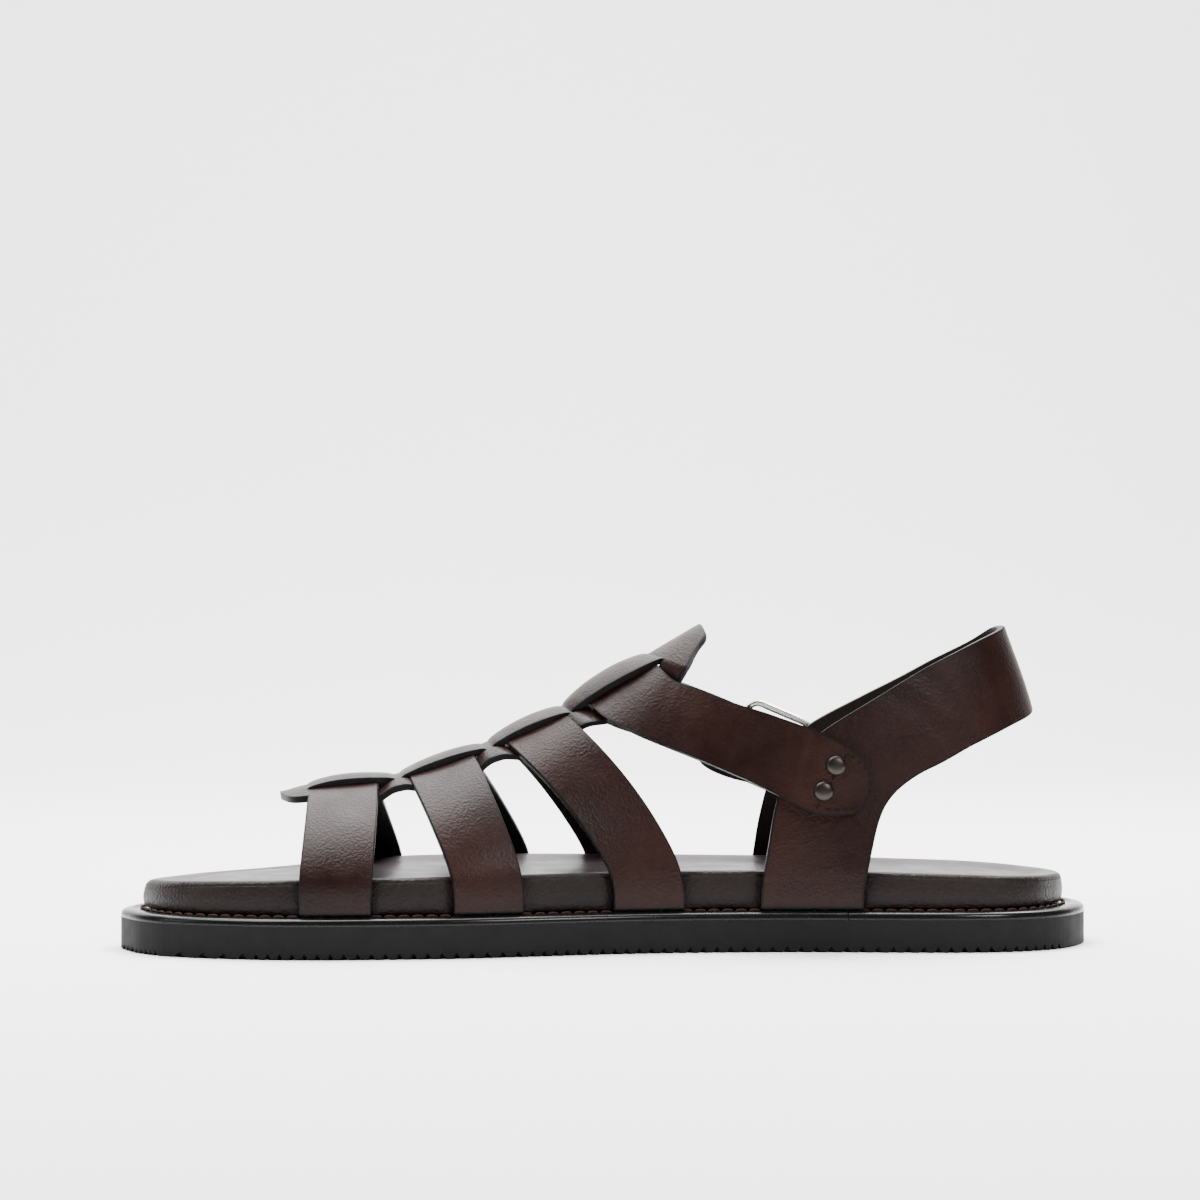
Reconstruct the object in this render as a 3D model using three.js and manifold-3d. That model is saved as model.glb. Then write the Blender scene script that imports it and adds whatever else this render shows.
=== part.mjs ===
// A right-foot fisherman sandal in dark brown leather on a flat rubber sole.
// Millimetres. +X runs from toe to heel, +Y from the inner to the outer side, +Z is up.
// The origin is on the ground, in the middle of the sole's length and width.
import * as THREE from 'three';
import { mergeVertices } from 'three/addons/utils/BufferGeometryUtils.js';
import Module from 'manifold-3d';

const wasm = await Module();
wasm.setup();

// Driving sizes
const soleLength = 296;
const soleWidth = 105;
const outsoleHeight = 9.7;
const weltThickness = 2.3;
const weltWidth = 12;
const weltJointGap = 0.4;
const footbedHeight = 10.6;
const sideLedge = 5.2;
const endLedge = 7;
const footbedDish = 1.6;
const leather = 2.4;
const instepHeight = 98.5;
const heelStrapHeight = 97.2;
const ridgePlace = -8;
const ankleHalfWidth = 30;
const lastingMargin = 8;
const clearance = 0.3;
const wallGap = 0.45;
const finest = 0.002;

const grooveDepth = 1.4;
const grooveWidth = 2;
const groovePitch = 4.05;
const grooveLean = 0.75;
const treadArm = 24;
const plainOvalLength = 30;
const plainOvalWidth = 17;

const stripWidth = 27.5;
const bandWidth = 16;
const slitWidth = 0.5;
const stripLeather = 2.2;
const stripProud = 0.15;
const joinDepth = 0.75;

const rivetDiameter = 5.9;
const rivetDome = 1.5;
const rivetShank = 2.6;
const buckleWire = 2.2;
const buckleLength = 21;
const keeperWidth = 7;
const keeperLeather = 1.6;
const chapeLeather = 2;
const strapWidth = 20;

// The sole's outline as a loop: shares of the length from the toe tip, and of the width from its middle.
const OUTLINE = [
  { along: 0.0000, across: -0.090 },
  { along: 0.0085, across: -0.185 },
  { along: 0.0220, across: -0.266 },
  { along: 0.0420, across: -0.333 },
  { along: 0.0690, across: -0.385 },
  { along: 0.1050, across: -0.432 },
  { along: 0.1500, across: -0.474 },
  { along: 0.2050, across: -0.498 },
  { along: 0.2700, across: -0.500 },
  { along: 0.3400, across: -0.490 },
  { along: 0.4100, across: -0.457 },
  { along: 0.4800, across: -0.418 },
  { along: 0.5500, across: -0.396 },
  { along: 0.6200, across: -0.394 },
  { along: 0.7000, across: -0.410 },
  { along: 0.7800, across: -0.443 },
  { along: 0.8500, across: -0.464 },
  { along: 0.9050, across: -0.450 },
  { along: 0.9500, across: -0.390 },
  { along: 0.9820, across: -0.280 },
  { along: 0.9980, across: -0.165 },
  { along: 0.9990, across: -0.040 },
  { along: 0.9830, across: 0.075 },
  { along: 0.9500, across: 0.180 },
  { along: 0.9000, across: 0.245 },
  { along: 0.8300, across: 0.272 },
  { along: 0.7500, across: 0.292 },
  { along: 0.6700, across: 0.325 },
  { along: 0.5900, across: 0.372 },
  { along: 0.5100, across: 0.430 },
  { along: 0.4300, across: 0.481 },
  { along: 0.3550, across: 0.500 },
  { along: 0.2850, across: 0.482 },
  { along: 0.2150, across: 0.438 },
  { along: 0.1450, across: 0.366 },
  { along: 0.0850, across: 0.278 },
  { along: 0.0400, across: 0.170 },
  { along: 0.0120, across: 0.050 },
];

// The footbed's rim along the sole: its height as a share of the footbed's own.
const RIM = [
  { along: 0.00, height: 0.82 },
  { along: 0.06, height: 0.90 },
  { along: 0.20, height: 1.00 },
  { along: 0.50, height: 1.08 },
  { along: 0.70, height: 1.08 },
  { along: 0.85, height: 0.98 },
  { along: 1.00, height: 0.83 },
];

// The last over the foot: the crest's height as a share of the instep height,
// and how full its sides are, where 1 is a straight slope.
const LAST = [
  { along: 0.100, crest: 0.455, fullness: 1.35 },
  { along: 0.165, crest: 0.478, fullness: 1.35 },
  { along: 0.191, crest: 0.498, fullness: 1.35 },
  { along: 0.284, crest: 0.531, fullness: 1.32 },
  { along: 0.376, crest: 0.627, fullness: 1.30 },
  { along: 0.463, crest: 0.752, fullness: 1.32 },
  { along: 0.544, crest: 0.898, fullness: 1.40 },
  { along: 0.602, crest: 1.000, fullness: 1.50 },
  { along: 0.680, crest: 1.130, fullness: 1.70 },
  { along: 0.780, crest: 1.270, fullness: 1.90 },
  { along: 0.900, crest: 1.370, fullness: 2.00 },
];

// The straps of the upper: where each edge meets the footbed and the crest, as shares of the length.
const STRAPS = [
  { name: 'toe', innerFront: 0.180, innerRear: 0.252, crestFront: 0.192, crestRear: 0.263,
    outerFront: 0.226, outerRear: 0.298 },
  { name: 'ball', innerFront: 0.334, innerRear: 0.405, crestFront: 0.294, crestRear: 0.361,
    outerFront: 0.366, outerRear: 0.437 },
  { name: 'instep', innerFront: 0.497, innerRear: 0.570, crestFront: 0.391, crestRear: 0.453,
    outerFront: 0.497, outerRear: 0.568 },
];

// The centre strip's slits: the straps pass through them in order, the ankle strap through the last.
const SLITS = [
  { front: 0.1912, rear: 0.2804, room: -joinDepth },
  { front: 0.2872, rear: 0.3730, room: -joinDepth },
  { front: 0.3797, rear: 0.4565, room: -joinDepth },
  { front: 0.4583, rear: 0.5480, room: 1.3 * clearance },
];
const stripFront = 0.1635;
const stripRear = 0.6020;

// The heel behind the ankle: how far back the last reaches and how wide it is, at a share of the
// strap's height.
const HEEL = [
  { height: 0.20, back: 0.968, half: 1.04 },
  { height: 0.45, back: 0.957, half: 1.02 },
  { height: 0.74, back: 0.9395, half: 0.93 },
  { height: 1.00, back: 0.9100, half: 0.80 },
];
const heelFront = 0.669;
const heelRoundness = 2.6;
const ankleBlendFront = 0.640;
const ankleBlendRear = 0.740;

// The quarters and heel strap, from each foot up and round to the back: the front or top edge, then the
// rear or low edge. Places are shares of the length, heights are shares of the heel strap's height.
const INNER_QUARTER = [
  { front: 0.6473, frontHeight: 0.16, rear: 0.7510, rearHeight: 0.16 },
  { front: 0.6510, frontHeight: 0.24, rear: 0.7554, rearHeight: 0.24 },
  { front: 0.6571, frontHeight: 0.36, rear: 0.7642, rearHeight: 0.36 },
  { front: 0.6655, frontHeight: 0.481, rear: 0.7723, rearHeight: 0.436 },
  { front: 0.6790, frontHeight: 0.586, rear: 0.7858, rearHeight: 0.492 },
  { front: 0.7090, frontHeight: 0.672, rear: 0.8095, rearHeight: 0.541 },
  { front: 0.7600, frontHeight: 0.766, rear: 0.8361, rearHeight: 0.581 },
  { front: 0.8118, frontHeight: 0.859, rear: 0.8635, rearHeight: 0.626 },
  { front: 0.8460, frontHeight: 0.911, rear: 0.8834, rearHeight: 0.654 },
  { front: 0.8818, frontHeight: 0.960, rear: 0.9088, rearHeight: 0.689 },
];
const OUTER_QUARTER = [
  { front: 0.6689, frontHeight: 0.16, rear: 0.7703, rearHeight: 0.16 },
  { front: 0.6709, frontHeight: 0.24, rear: 0.7736, rearHeight: 0.24 },
  { front: 0.6757, frontHeight: 0.36, rear: 0.7804, rearHeight: 0.35 },
  { front: 0.6834, frontHeight: 0.463, rear: 0.7872, rearHeight: 0.427 },
  { front: 0.6926, frontHeight: 0.566, rear: 0.7990, rearHeight: 0.478 },
  { front: 0.7247, frontHeight: 0.669, rear: 0.8209, rearHeight: 0.525 },
  { front: 0.7743, frontHeight: 0.754, rear: 0.8446, rearHeight: 0.566 },
  { front: 0.8284, frontHeight: 0.841, rear: 0.8699, rearHeight: 0.615 },
  { front: 0.8574, frontHeight: 0.893, rear: 0.8885, rearHeight: 0.648 },
  { front: 0.8858, frontHeight: 0.940, rear: 0.9120, rearHeight: 0.687 },
];
// How near the back the two rearmost rows lie, as shares of the way from the ankle, and their heights.
const HEEL_BACK = [
  { way: 0.985, topHeight: 0.992, lowHeight: 0.722 },
  { way: 1.000, topHeight: 1.000, lowHeight: 0.738 },
];

// The outer quarter's underlay tab below the buckle, from its rounded tip back into the quarter.
const UNDERLAY = [
  { upper: 0.6070, upperHeight: 0.628, lower: 0.6070, lowerHeight: 0.585 },
  { upper: 0.6140, upperHeight: 0.674, lower: 0.6150, lowerHeight: 0.546 },
  { upper: 0.6350, upperHeight: 0.698, lower: 0.6350, lowerHeight: 0.512 },
  { upper: 0.6620, upperHeight: 0.694, lower: 0.6620, lowerHeight: 0.488 },
  { upper: 0.7000, upperHeight: 0.640, lower: 0.7000, lowerHeight: 0.470 },
];

// The ankle strap from the inner tab's tip over the crest to its tip on the outer side. Places are shares of
// the length, heights are shares of the instep height, and lift counts the leathers underneath.
const ANKLE_STRAP = [
  { side: -1, upper: 0.7595, upperHeight: 0.530, lower: 0.7590, lowerHeight: 0.480, lift: 1.1 },
  { side: -1, upper: 0.7534, upperHeight: 0.567, lower: 0.7507, lowerHeight: 0.442, lift: 1.1 },
  { side: -1, upper: 0.7400, upperHeight: 0.606, lower: 0.7365, lowerHeight: 0.411, lift: 1.1 },
  { side: -1, upper: 0.7074, upperHeight: 0.664, lower: 0.7027, lowerHeight: 0.414, lift: 1.1 },
  { side: -1, upper: 0.6747, upperHeight: 0.698, lower: 0.6660, lowerHeight: 0.470, lift: 1.1 },
  { side: -1, upper: 0.6294, upperHeight: 0.742, lower: 0.6060, lowerHeight: 0.553, lift: 0.3 },
  { side: -1, upper: 0.5899, upperHeight: 0.783, lower: 0.5540, lowerHeight: 0.618, lift: 0 },
  { side: -1, upper: 0.5620, upperHeight: 0.810, lower: 0.5180, lowerHeight: 0.665, lift: 0 },
  { side: -1, upper: 0.5375, upperHeight: 0.835, lower: 0.4900, lowerHeight: 0.710, lift: 0 },
  { side: 1, upper: 0.5250, upperHeight: 9, lower: 0.4757, lowerHeight: 9, lift: 0 },
  { side: 1, upper: 0.5375, upperHeight: 0.840, lower: 0.4900, lowerHeight: 0.715, lift: 0 },
  { side: 1, upper: 0.5640, upperHeight: 0.812, lower: 0.5180, lowerHeight: 0.662, lift: 0.1 },
  { side: 1, upper: 0.5980, upperHeight: 0.777, lower: 0.5680, lowerHeight: 0.600, lift: 0.9 },
  { side: 1, upper: 0.6351, upperHeight: 0.738, lower: 0.6180, lowerHeight: 0.548, lift: 1.05 },
  { side: 1, upper: 0.6622, upperHeight: 0.710, lower: 0.6480, lowerHeight: 0.518, lift: 1.1 },
  { side: 1, upper: 0.6960, upperHeight: 0.676, lower: 0.6820, lowerHeight: 0.482, lift: 3.0 },
  { side: 1, upper: 0.7160, upperHeight: 0.656, lower: 0.7020, lowerHeight: 0.460, lift: 3.6 },
  { side: 1, upper: 0.7534, upperHeight: 0.618, lower: 0.7380, lowerHeight: 0.424, lift: 2.1 },
  { side: 1, upper: 0.7905, upperHeight: 0.580, lower: 0.7750, lowerHeight: 0.395, lift: 1.6 },
  { side: 1, upper: 0.8100, upperHeight: 0.525, lower: 0.8040, lowerHeight: 0.440, lift: 1.3 },
];

// Heights that follow from the stack of the sole
const outsoleTop = outsoleHeight;
const weltFoot = outsoleTop + clearance;
const weltTop = weltFoot + weltThickness;
const footbedFoot = weltTop + clearance;
const sideFoot = 2;

const place = (share) => (share - 0.5) * soleLength;
const shareOf = (x) => x / soleLength + 0.5;
const mix = THREE.MathUtils.lerp;

// A smooth reading of one column of a table, between the rows on either side of a value.
function read(table, key, at, column) {
  const end = table.length - 1;
  const value = THREE.MathUtils.clamp(at, table[0][key], table[end][key]);
  let row = 0;
  while (row < end - 1 && table[row + 1][key] < value) row += 1;
  const slope = (k) => {
    const low = table[Math.max(k - 1, 0)];
    const high = table[Math.min(k + 1, end)];
    return (high[column] - low[column]) / (high[key] - low[key]);
  };
  const step = table[row + 1][key] - table[row][key];
  const t = (value - table[row][key]) / step;
  const start = table[row][column] * (1 + 2 * t) * (1 - t) ** 2;
  const finish = table[row + 1][column] * (3 - 2 * t) * t ** 2;
  return start + finish + step * t * (1 - t) * (slope(row) * (1 - t) - slope(row + 1) * t);
}

// Closed solids

function solid(positions, faces) {
  let volume = 0;
  const corner = (k) => new THREE.Vector3(positions[3 * k], positions[3 * k + 1], positions[3 * k + 2]);
  for (let k = 0; k < faces.length; k += 3) {
    volume += corner(faces[k]).dot(corner(faces[k + 1]).cross(corner(faces[k + 2])));
  }
  const turned = volume < 0 ? faces.slice().reverse() : faces;
  return new wasm.Manifold(new wasm.Mesh({
    numProp: 3,
    vertProperties: new Float32Array(positions),
    triVerts: new Uint32Array(turned),
  }));
}

function solidOf(geometry, matrix = new THREE.Matrix4()) {
  const bare = geometry.clone();
  bare.deleteAttribute('normal');
  bare.deleteAttribute('uv');
  bare.applyMatrix4(matrix);
  const merged = mergeVertices(bare, 1e-4);
  return solid(Array.from(merged.attributes.position.array), Array.from(merged.index.array));
}

// A stack of rings of equal counts, capped at both ends or closed on itself.
function loft(rings, closed = false) {
  const count = rings[0].length;
  const positions = rings.flat().flatMap((point) => [point.x, point.y, point.z]);
  const faces = [];
  const bands = closed ? rings.length : rings.length - 1;
  for (let band = 0; band < bands; band += 1) {
    const lower = band * count;
    const upper = ((band + 1) % rings.length) * count;
    for (let k = 0; k < count; k += 1) {
      const next = (k + 1) % count;
      faces.push(lower + k, lower + next, upper + next, lower + k, upper + next, upper + k);
    }
  }
  if (!closed) {
    const cap = (ring, start, up) => {
      const flat = ring.map((point) => new THREE.Vector2(point.x, point.y));
      THREE.ShapeUtils.triangulateShape(flat, []).forEach(([a, b, c]) => {
        const area = flat[b].clone().sub(flat[a]).cross(flat[c].clone().sub(flat[a]));
        faces.push(...((area > 0) === up ? [a, b, c] : [a, c, b]).map((k) => k + start));
      });
    };
    cap(rings[0], 0, false);
    cap(rings[rings.length - 1], (rings.length - 1) * count, true);
  }
  return solid(positions, faces);
}

// A sheet between two grids of points, without the cells that keep() leaves out.
function sheet(outer, inner, keep = () => true) {
  const rows = outer.length - 1;
  const columns = outer[0].length - 1;
  const below = (rows + 1) * (columns + 1);
  const spot = (i, j) => i * (columns + 1) + j;
  const held = (i, j) => i >= 0 && j >= 0 && i < rows && j < columns && keep(i, j);
  const positions = [...outer.flat(), ...inner.flat()].flatMap((point) => [point.x, point.y, point.z]);
  const faces = [];
  const quad = (a, b, c, d) => faces.push(a, b, c, a, c, d);
  for (let i = 0; i < rows; i += 1) {
    for (let j = 0; j < columns; j += 1) {
      if (!held(i, j)) continue;
      const corners = [spot(i, j), spot(i + 1, j), spot(i + 1, j + 1), spot(i, j + 1)];
      const [a, b, c, d] = corners;
      quad(a, b, c, d);
      faces.push(a + below, c + below, b + below, a + below, d + below, c + below);
      const wall = (from, to) => quad(to, from, from + below, to + below);
      if (!held(i, j - 1)) wall(a, b);
      if (!held(i + 1, j)) wall(b, c);
      if (!held(i, j + 1)) wall(c, d);
      if (!held(i - 1, j)) wall(d, a);
    }
  }
  return solid(positions, faces);
}

// The sole's outline and the rings set in from it

const outlineCurve = new THREE.CatmullRomCurve3(
  OUTLINE.map((row) => new THREE.Vector3(place(row.along), row.across * soleWidth, 0)), true, 'centripetal');
const outline = outlineCurve.getPoints(OUTLINE.length * 2).slice(0, -1);
const inwards = outline.map((point, k) => {
  const before = outline[(k + outline.length - 1) % outline.length];
  const run = outline[(k + 1) % outline.length].clone().sub(before).normalize();
  return new THREE.Vector3(-run.y, run.x, 0);
});

function ring(inset, height) {
  return outline.map((point, k) => {
    const away = typeof inset === 'function' ? inset(point) : inset;
    const spot = point.clone().addScaledVector(inwards[k], away);
    spot.z = typeof height === 'function' ? height(shareOf(point.x)) : height;
    return spot;
  });
}

// The ledge of sole outside the footbed is wider at the toe and heel than along the sides.
function ledge(point) {
  const along = shareOf(point.x);
  const ends = Math.max(1 - along / 0.08, 1 - (1 - along) / 0.10, 0);
  return mix(sideLedge, endLedge, THREE.MathUtils.smoothstep(ends, 0, 0.8));
}

const footbedWall = ring(ledge, 0);
const rimHeight = (along) => footbedFoot + footbedHeight * read(RIM, 'along', along, 'height');

// Where the footbed's wall lies across the sole, on the inner side (-1) or the outer side (1).
function wallPlace(x, side) {
  let found = ridgePlace;
  footbedWall.forEach((point, k) => {
    const next = footbedWall[(k + 1) % footbedWall.length];
    if ((point.x - x) * (next.x - x) > 0 || point.x === next.x) return;
    const y = mix(point.y, next.y, (x - point.x) / (next.x - point.x));
    if (side * y > side * found) found = y;
  });
  return found;
}

// The last: its surface is the inside of the straps. A turn of -90 degrees is at the inner wall of the
// footbed, 0 is on the instep's ridge and 90 degrees is at the outer wall.

const quarterTurn = Math.PI / 2;
const baseHeight = (x) => rimHeight(shareOf(x)) - sideFoot;
const crestHeight = (x) => read(LAST, 'along', shareOf(x), 'crest') * instepHeight - leather;
const liftOf = (x, turn) => Math.abs(Math.cos(turn)) ** (2 / read(LAST, 'along', shareOf(x), 'fullness'));
const heelMiddle = (x) => mix(-6, -10.5, THREE.MathUtils.smoothstep(shareOf(x), heelFront, 0.94));

function turnOf(x, z, side) {
  const lift = THREE.MathUtils.clamp((z - baseHeight(x)) / (crestHeight(x) - baseHeight(x)), 0, 1);
  const fullness = read(LAST, 'along', shareOf(x), 'fullness');
  return side * Math.acos(Math.min(lift ** (fullness / 2), 1));
}

function heelWay(x, z) {
  const reach = place(read(HEEL, 'height', z / heelStrapHeight, 'back')) - place(heelFront);
  return (x - place(heelFront)) / reach;
}

function heelPoint(way, z, side) {
  const share = z / heelStrapHeight;
  const reach = place(read(HEEL, 'height', share, 'back')) - place(heelFront);
  const x = place(heelFront) + reach * way;
  const bulge = (1 - Math.min(Math.max(way, 0), 1) ** heelRoundness) ** (1 / heelRoundness);
  const y = heelMiddle(x) + side * ankleHalfWidth * read(HEEL, 'height', share, 'half') * bulge;
  return new THREE.Vector3(x, y, z);
}

function lastPoint(x, turn) {
  const side = turn < 0 ? -1 : 1;
  const z = mix(baseHeight(x), crestHeight(x), liftOf(x, turn));
  const wall = wallPlace(x, side) + side * wallGap;
  const foot = ridgePlace + (wall - ridgePlace) * Math.abs(Math.sin(turn));
  const blend = THREE.MathUtils.smoothstep(shareOf(x), ankleBlendFront, ankleBlendRear);
  if (blend === 0) return new THREE.Vector3(x, foot, z);
  const above = THREE.MathUtils.smoothstep(z, baseHeight(x), baseHeight(x) + 25);
  const heel = mix(wall, heelPoint(heelWay(x, z), z, side).y, above);
  return new THREE.Vector3(x, mix(foot, heel, blend), z);
}

// The point at an offset from a surface given as a function of two values.
function offsetPoint(surface, u, v, offset, outwards, near = v) {
  const step = 1e-3;
  const alongU = surface(u + step, near).sub(surface(u - step, near));
  const alongV = surface(u, near + step).sub(surface(u, near - step));
  const normal = alongU.cross(alongV).normalize();
  if (normal.dot(outwards) < 0) normal.negate();
  return surface(u, v).addScaledVector(normal, offset);
}

const outwardsAt = (turn) => new THREE.Vector3(0, Math.sin(turn), Math.cos(turn) + 0.3);
const onLast = (x, turn, offset) => offsetPoint(lastPoint, x, turn, offset, outwardsAt(turn), 0.99 * turn);

// The two rows of a strap's foot: down the footbed's wall and in under the footbed.
function footRows(top, side, depth) {
  const row = (away, z) => top.map(({ x }) => new THREE.Vector3(x, wallPlace(x, side) + side * away, z));
  return {
    outer: [row(-depth, footbedFoot), row(wallGap + leather, footbedFoot)],
    inner: [row(-depth, footbedFoot + leather), row(wallGap, footbedFoot + leather)],
  };
}

// Outsole: a slab with a herringbone of V grooves under it, and two plain ovals.

function grooveCutter(x) {
  const arms = Math.ceil(soleWidth / treadArm) + 1;
  const crossings = Array.from({ length: arms + 1 }, (unused, k) => k - arms / 2);
  const path = crossings.map((k) => ({
    x: x + (Math.round(k * 2) % 4 === 0 ? 1 : -1) * grooveLean * treadArm / 2,
    y: k * treadArm,
  }));
  const half = grooveWidth / 2;
  const section = [[-half * 2, -grooveDepth], [half * 2, -grooveDepth], [0, grooveDepth]];
  const positions = path.flatMap((spot) => section.flatMap(([dx, dz]) => [spot.x + dx, spot.y, dz]));
  const faces = [0, 1, 2];
  for (let k = 0; k < path.length - 1; k += 1) {
    for (let side = 0; side < 3; side += 1) {
      const a = 3 * k + side;
      const b = 3 * k + (side + 1) % 3;
      faces.push(a, a + 3, b + 3, a, b + 3, b);
    }
  }
  const end = 3 * (path.length - 1);
  faces.push(end, end + 2, end + 1);
  return solid(positions, faces);
}

function plainOval(along, across) {
  const shape = new THREE.Shape();
  const radii = [plainOvalLength / 2, plainOvalWidth / 2];
  shape.absellipse(place(along), across * soleWidth, ...radii, 0, 2 * Math.PI);
  const settings = { depth: 3 * grooveDepth, bevelEnabled: false, curveSegments: 6 };
  const geometry = new THREE.ExtrudeGeometry(shape, settings);
  return solidOf(geometry, new THREE.Matrix4().makeTranslation(0, 0, -1.5 * grooveDepth));
}

function makeOutsole() {
  const slab = loft([ring(0.8, 0), ring(0, 0.7), ring(0, outsoleTop)]);
  const grooved = soleLength - 14;
  const count = Math.floor(grooved / groovePitch);
  const lean = grooveLean * treadArm;
  let cutters = null;
  for (let k = -Math.ceil(lean / groovePitch / 2); k < count; k += 1) {
    const cutter = grooveCutter(place(0) + (k + 1) * groovePitch);
    cutters = cutters ? cutters.add(cutter) : cutter;
  }
  const ovals = plainOval(0.29, 0.01).add(plainOval(0.87, -0.1));
  return slab.subtract(cutters.subtract(ovals));
}

// Welt: a rounded strip round the top of the outsole, open at its joint on the inner waist.
function makeWelt() {
  const strip = loft([
    ring(0.3, weltFoot),
    ring(0, weltFoot + weltThickness * 0.3),
    ring(1.2, weltTop - 0.3),
    ring(2.6, weltTop),
    ring(weltWidth, weltTop),
    ring(weltWidth, weltFoot),
  ], true);
  const joint = new THREE.BoxGeometry(weltJointGap, 2 * weltWidth, 4 * weltThickness);
  const spot = new THREE.Matrix4().makeTranslation(place(0.735), -0.42 * soleWidth, weltFoot);
  return strip.subtract(solidOf(joint, spot.multiply(new THREE.Matrix4().makeRotationZ(0.6))));
}

// Footbed: a thick slab with a rounded rim and a dished top, on a plug that fills the welt.

function footPocket(front, rear, side) {
  const spots = [0, 0.25, 0.5, 0.75, 1].map((t) => mix(front - 2 * clearance, rear + 2 * clearance, t));
  const row = (away, z) => spots.map((x) => new THREE.Vector3(x, wallPlace(x, side) + side * away, z));
  const top = footbedFoot + leather + 1.5 * clearance;
  const foot = weltFoot + weltThickness / 2;
  const deep = -lastingMargin - 2 * clearance;
  return sheet([row(deep, top), row(weltWidth, top)], [row(deep, foot), row(weltWidth, foot)]);
}

function makeFootbed() {
  const roundAt = (along) => mix(1.6, 5, THREE.MathUtils.smoothstep(0.1 - along, 0, 0.1));
  const edge = (share, dip) => ring(
    (point) => ledge(point) + share * roundAt(shareOf(point.x)),
    (along) => rimHeight(along) - dip * roundAt(along));
  const dished = (inset, dip) => ring(inset, (along) => rimHeight(along) - dip);
  let footbed = loft([
    ring(weltWidth + clearance, weltFoot),
    ring(weltWidth + clearance, footbedFoot),
    ring(ledge, footbedFoot),
    edge(0, 1),
    edge(0.3, 0.3),
    edge(1, 0),
    dished(weltWidth + 2, footbedDish),
  ]);
  STRAPS.forEach((strap) => {
    footbed = footbed.subtract(footPocket(place(strap.innerFront), place(strap.innerRear), -1));
    footbed = footbed.subtract(footPocket(place(strap.outerFront), place(strap.outerRear), 1));
  });
  const foot = (table, side) => footPocket(place(table[0].front), place(table[0].rear), side);
  return footbed.subtract(foot(INNER_QUARTER, -1)).subtract(foot(OUTER_QUARTER, 1));
}

// Upper: three cross straps and the slit centre strip, joined where they cross.

function crossStrap(strap) {
  const steps = 16;
  const crestMiddle = place((strap.crestFront + strap.crestRear) / 2);
  const grid = (offset) => Array.from({ length: steps + 1 }, (unused, k) => {
    const turn = (2 * k / steps - 1) * quarterTurn;
    const side = turn < 0 ? 'inner' : 'outer';
    const lift = liftOf(crestMiddle, turn);
    return [0, 0.25, 0.5, 0.75, 1].map((across) => {
      const foot = mix(strap[`${side}Front`], strap[`${side}Rear`], across);
      const crest = mix(strap.crestFront, strap.crestRear, across);
      return onLast(place(mix(foot, crest, lift)), turn, offset);
    });
  });
  return withFeet(grid(leather), grid(0), [-1, 1]);
}

// Adds the turned-in feet to a strap's two grids, at its first row and at its last one.
function withFeet(outer, inner, sides) {
  const first = footRows(inner[0], sides[0], lastingMargin);
  const last = footRows(inner[inner.length - 1], sides[1], lastingMargin);
  return sheet(
    [...first.outer, ...outer, ...last.outer.slice().reverse()],
    [...first.inner, ...inner, ...last.inner.slice().reverse()]);
}

const middle = (a, b) => (a + b) / 2;
const LEANS = [
  ...STRAPS.map((strap) => {
    const along = middle(strap.crestFront, strap.crestRear);
    return {
      along,
      inner: middle(strap.innerFront, strap.innerRear) - along,
      outer: middle(strap.outerFront, strap.outerRear) - along,
    };
  }),
  { along: 0.480, inner: 0.14, outer: 0.12 },
  { along: 0.545, inner: 0.26, outer: 0.24 },
  { along: 0.602, inner: 0.14, outer: 0.14 },
];

// A point of the centre strip, at a share of the sole's length and a distance from the ridge.
function stripPoint(share, aside, offset) {
  const x = place(share);
  const side = aside < 0 ? -1 : 1;
  const half = Math.abs(wallPlace(x, side) - ridgePlace) + wallGap;
  const turn = Math.asin(aside / half);
  const lean = read(LEANS, 'along', share, side < 0 ? 'inner' : 'outer') * soleLength;
  return onLast(x + lean * (1 - liftOf(x, turn)), turn, offset);
}

function centreStrip() {
  const slitRows = [0, 0.06, 0.12, 0.18, 0.4, 0.6, 0.82, 0.88, 0.94];
  const stations = [0, 0.12, 0.3, 0.6].map((t) => ({ share: mix(stripFront, SLITS[0].front, t) }));
  SLITS.forEach((slit) => slitRows.forEach((t) => {
    const bump = THREE.MathUtils.smoothstep(Math.min(t, 1 - t), 0, 0.18);
    stations.push({ share: mix(slit.front, slit.rear, t), bump, room: slit.room, cut: true });
  }));
  SLITS.forEach((slit) => stations.push({ share: slit.rear }));
  [0.25, 0.5, 0.72, 0.88, 1].forEach((t) => stations.push({ share: mix(SLITS[3].rear, stripRear, t) }));
  stations.sort((a, b) => a.share - b.share);
  const band = bandWidth / stripWidth;
  const asides = [-1, -band - 2 * slitWidth / stripWidth, -band, -band / 2, 0, band / 2, band,
    band + 2 * slitWidth / stripWidth, 1];
  const narrowing = (share) => {
    const front = (share - stripFront) * soleLength / (stripWidth * 0.32);
    const rear = (stripRear - share) * soleLength / (stripWidth * 0.45);
    return Math.max(Math.sqrt(1 - (1 - Math.min(front, rear, 1)) ** 2), 0.3);
  };
  const grid = (offset) => stations.map(({ share, bump = 0, room = 0 }) => asides.map((aside) => {
    const raised = Math.abs(aside) < band + 1e-6 ? stripLeather + room : -leather - room - stripProud;
    return stripPoint(share, aside * narrowing(share) * stripWidth / 2, offset + bump * raised);
  }));
  const inSlit = (i, j) => stations[i].cut && (j === 1 || j === 6);
  return sheet(
    grid(leather + stripProud), grid(leather + stripProud - stripLeather), (i, j) => !inSlit(i, j));
}

function makeUpper() {
  return withoutSlivers(STRAPS.reduce((upper, strap) => upper.add(crossStrap(strap)), centreStrip()));
}

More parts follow.
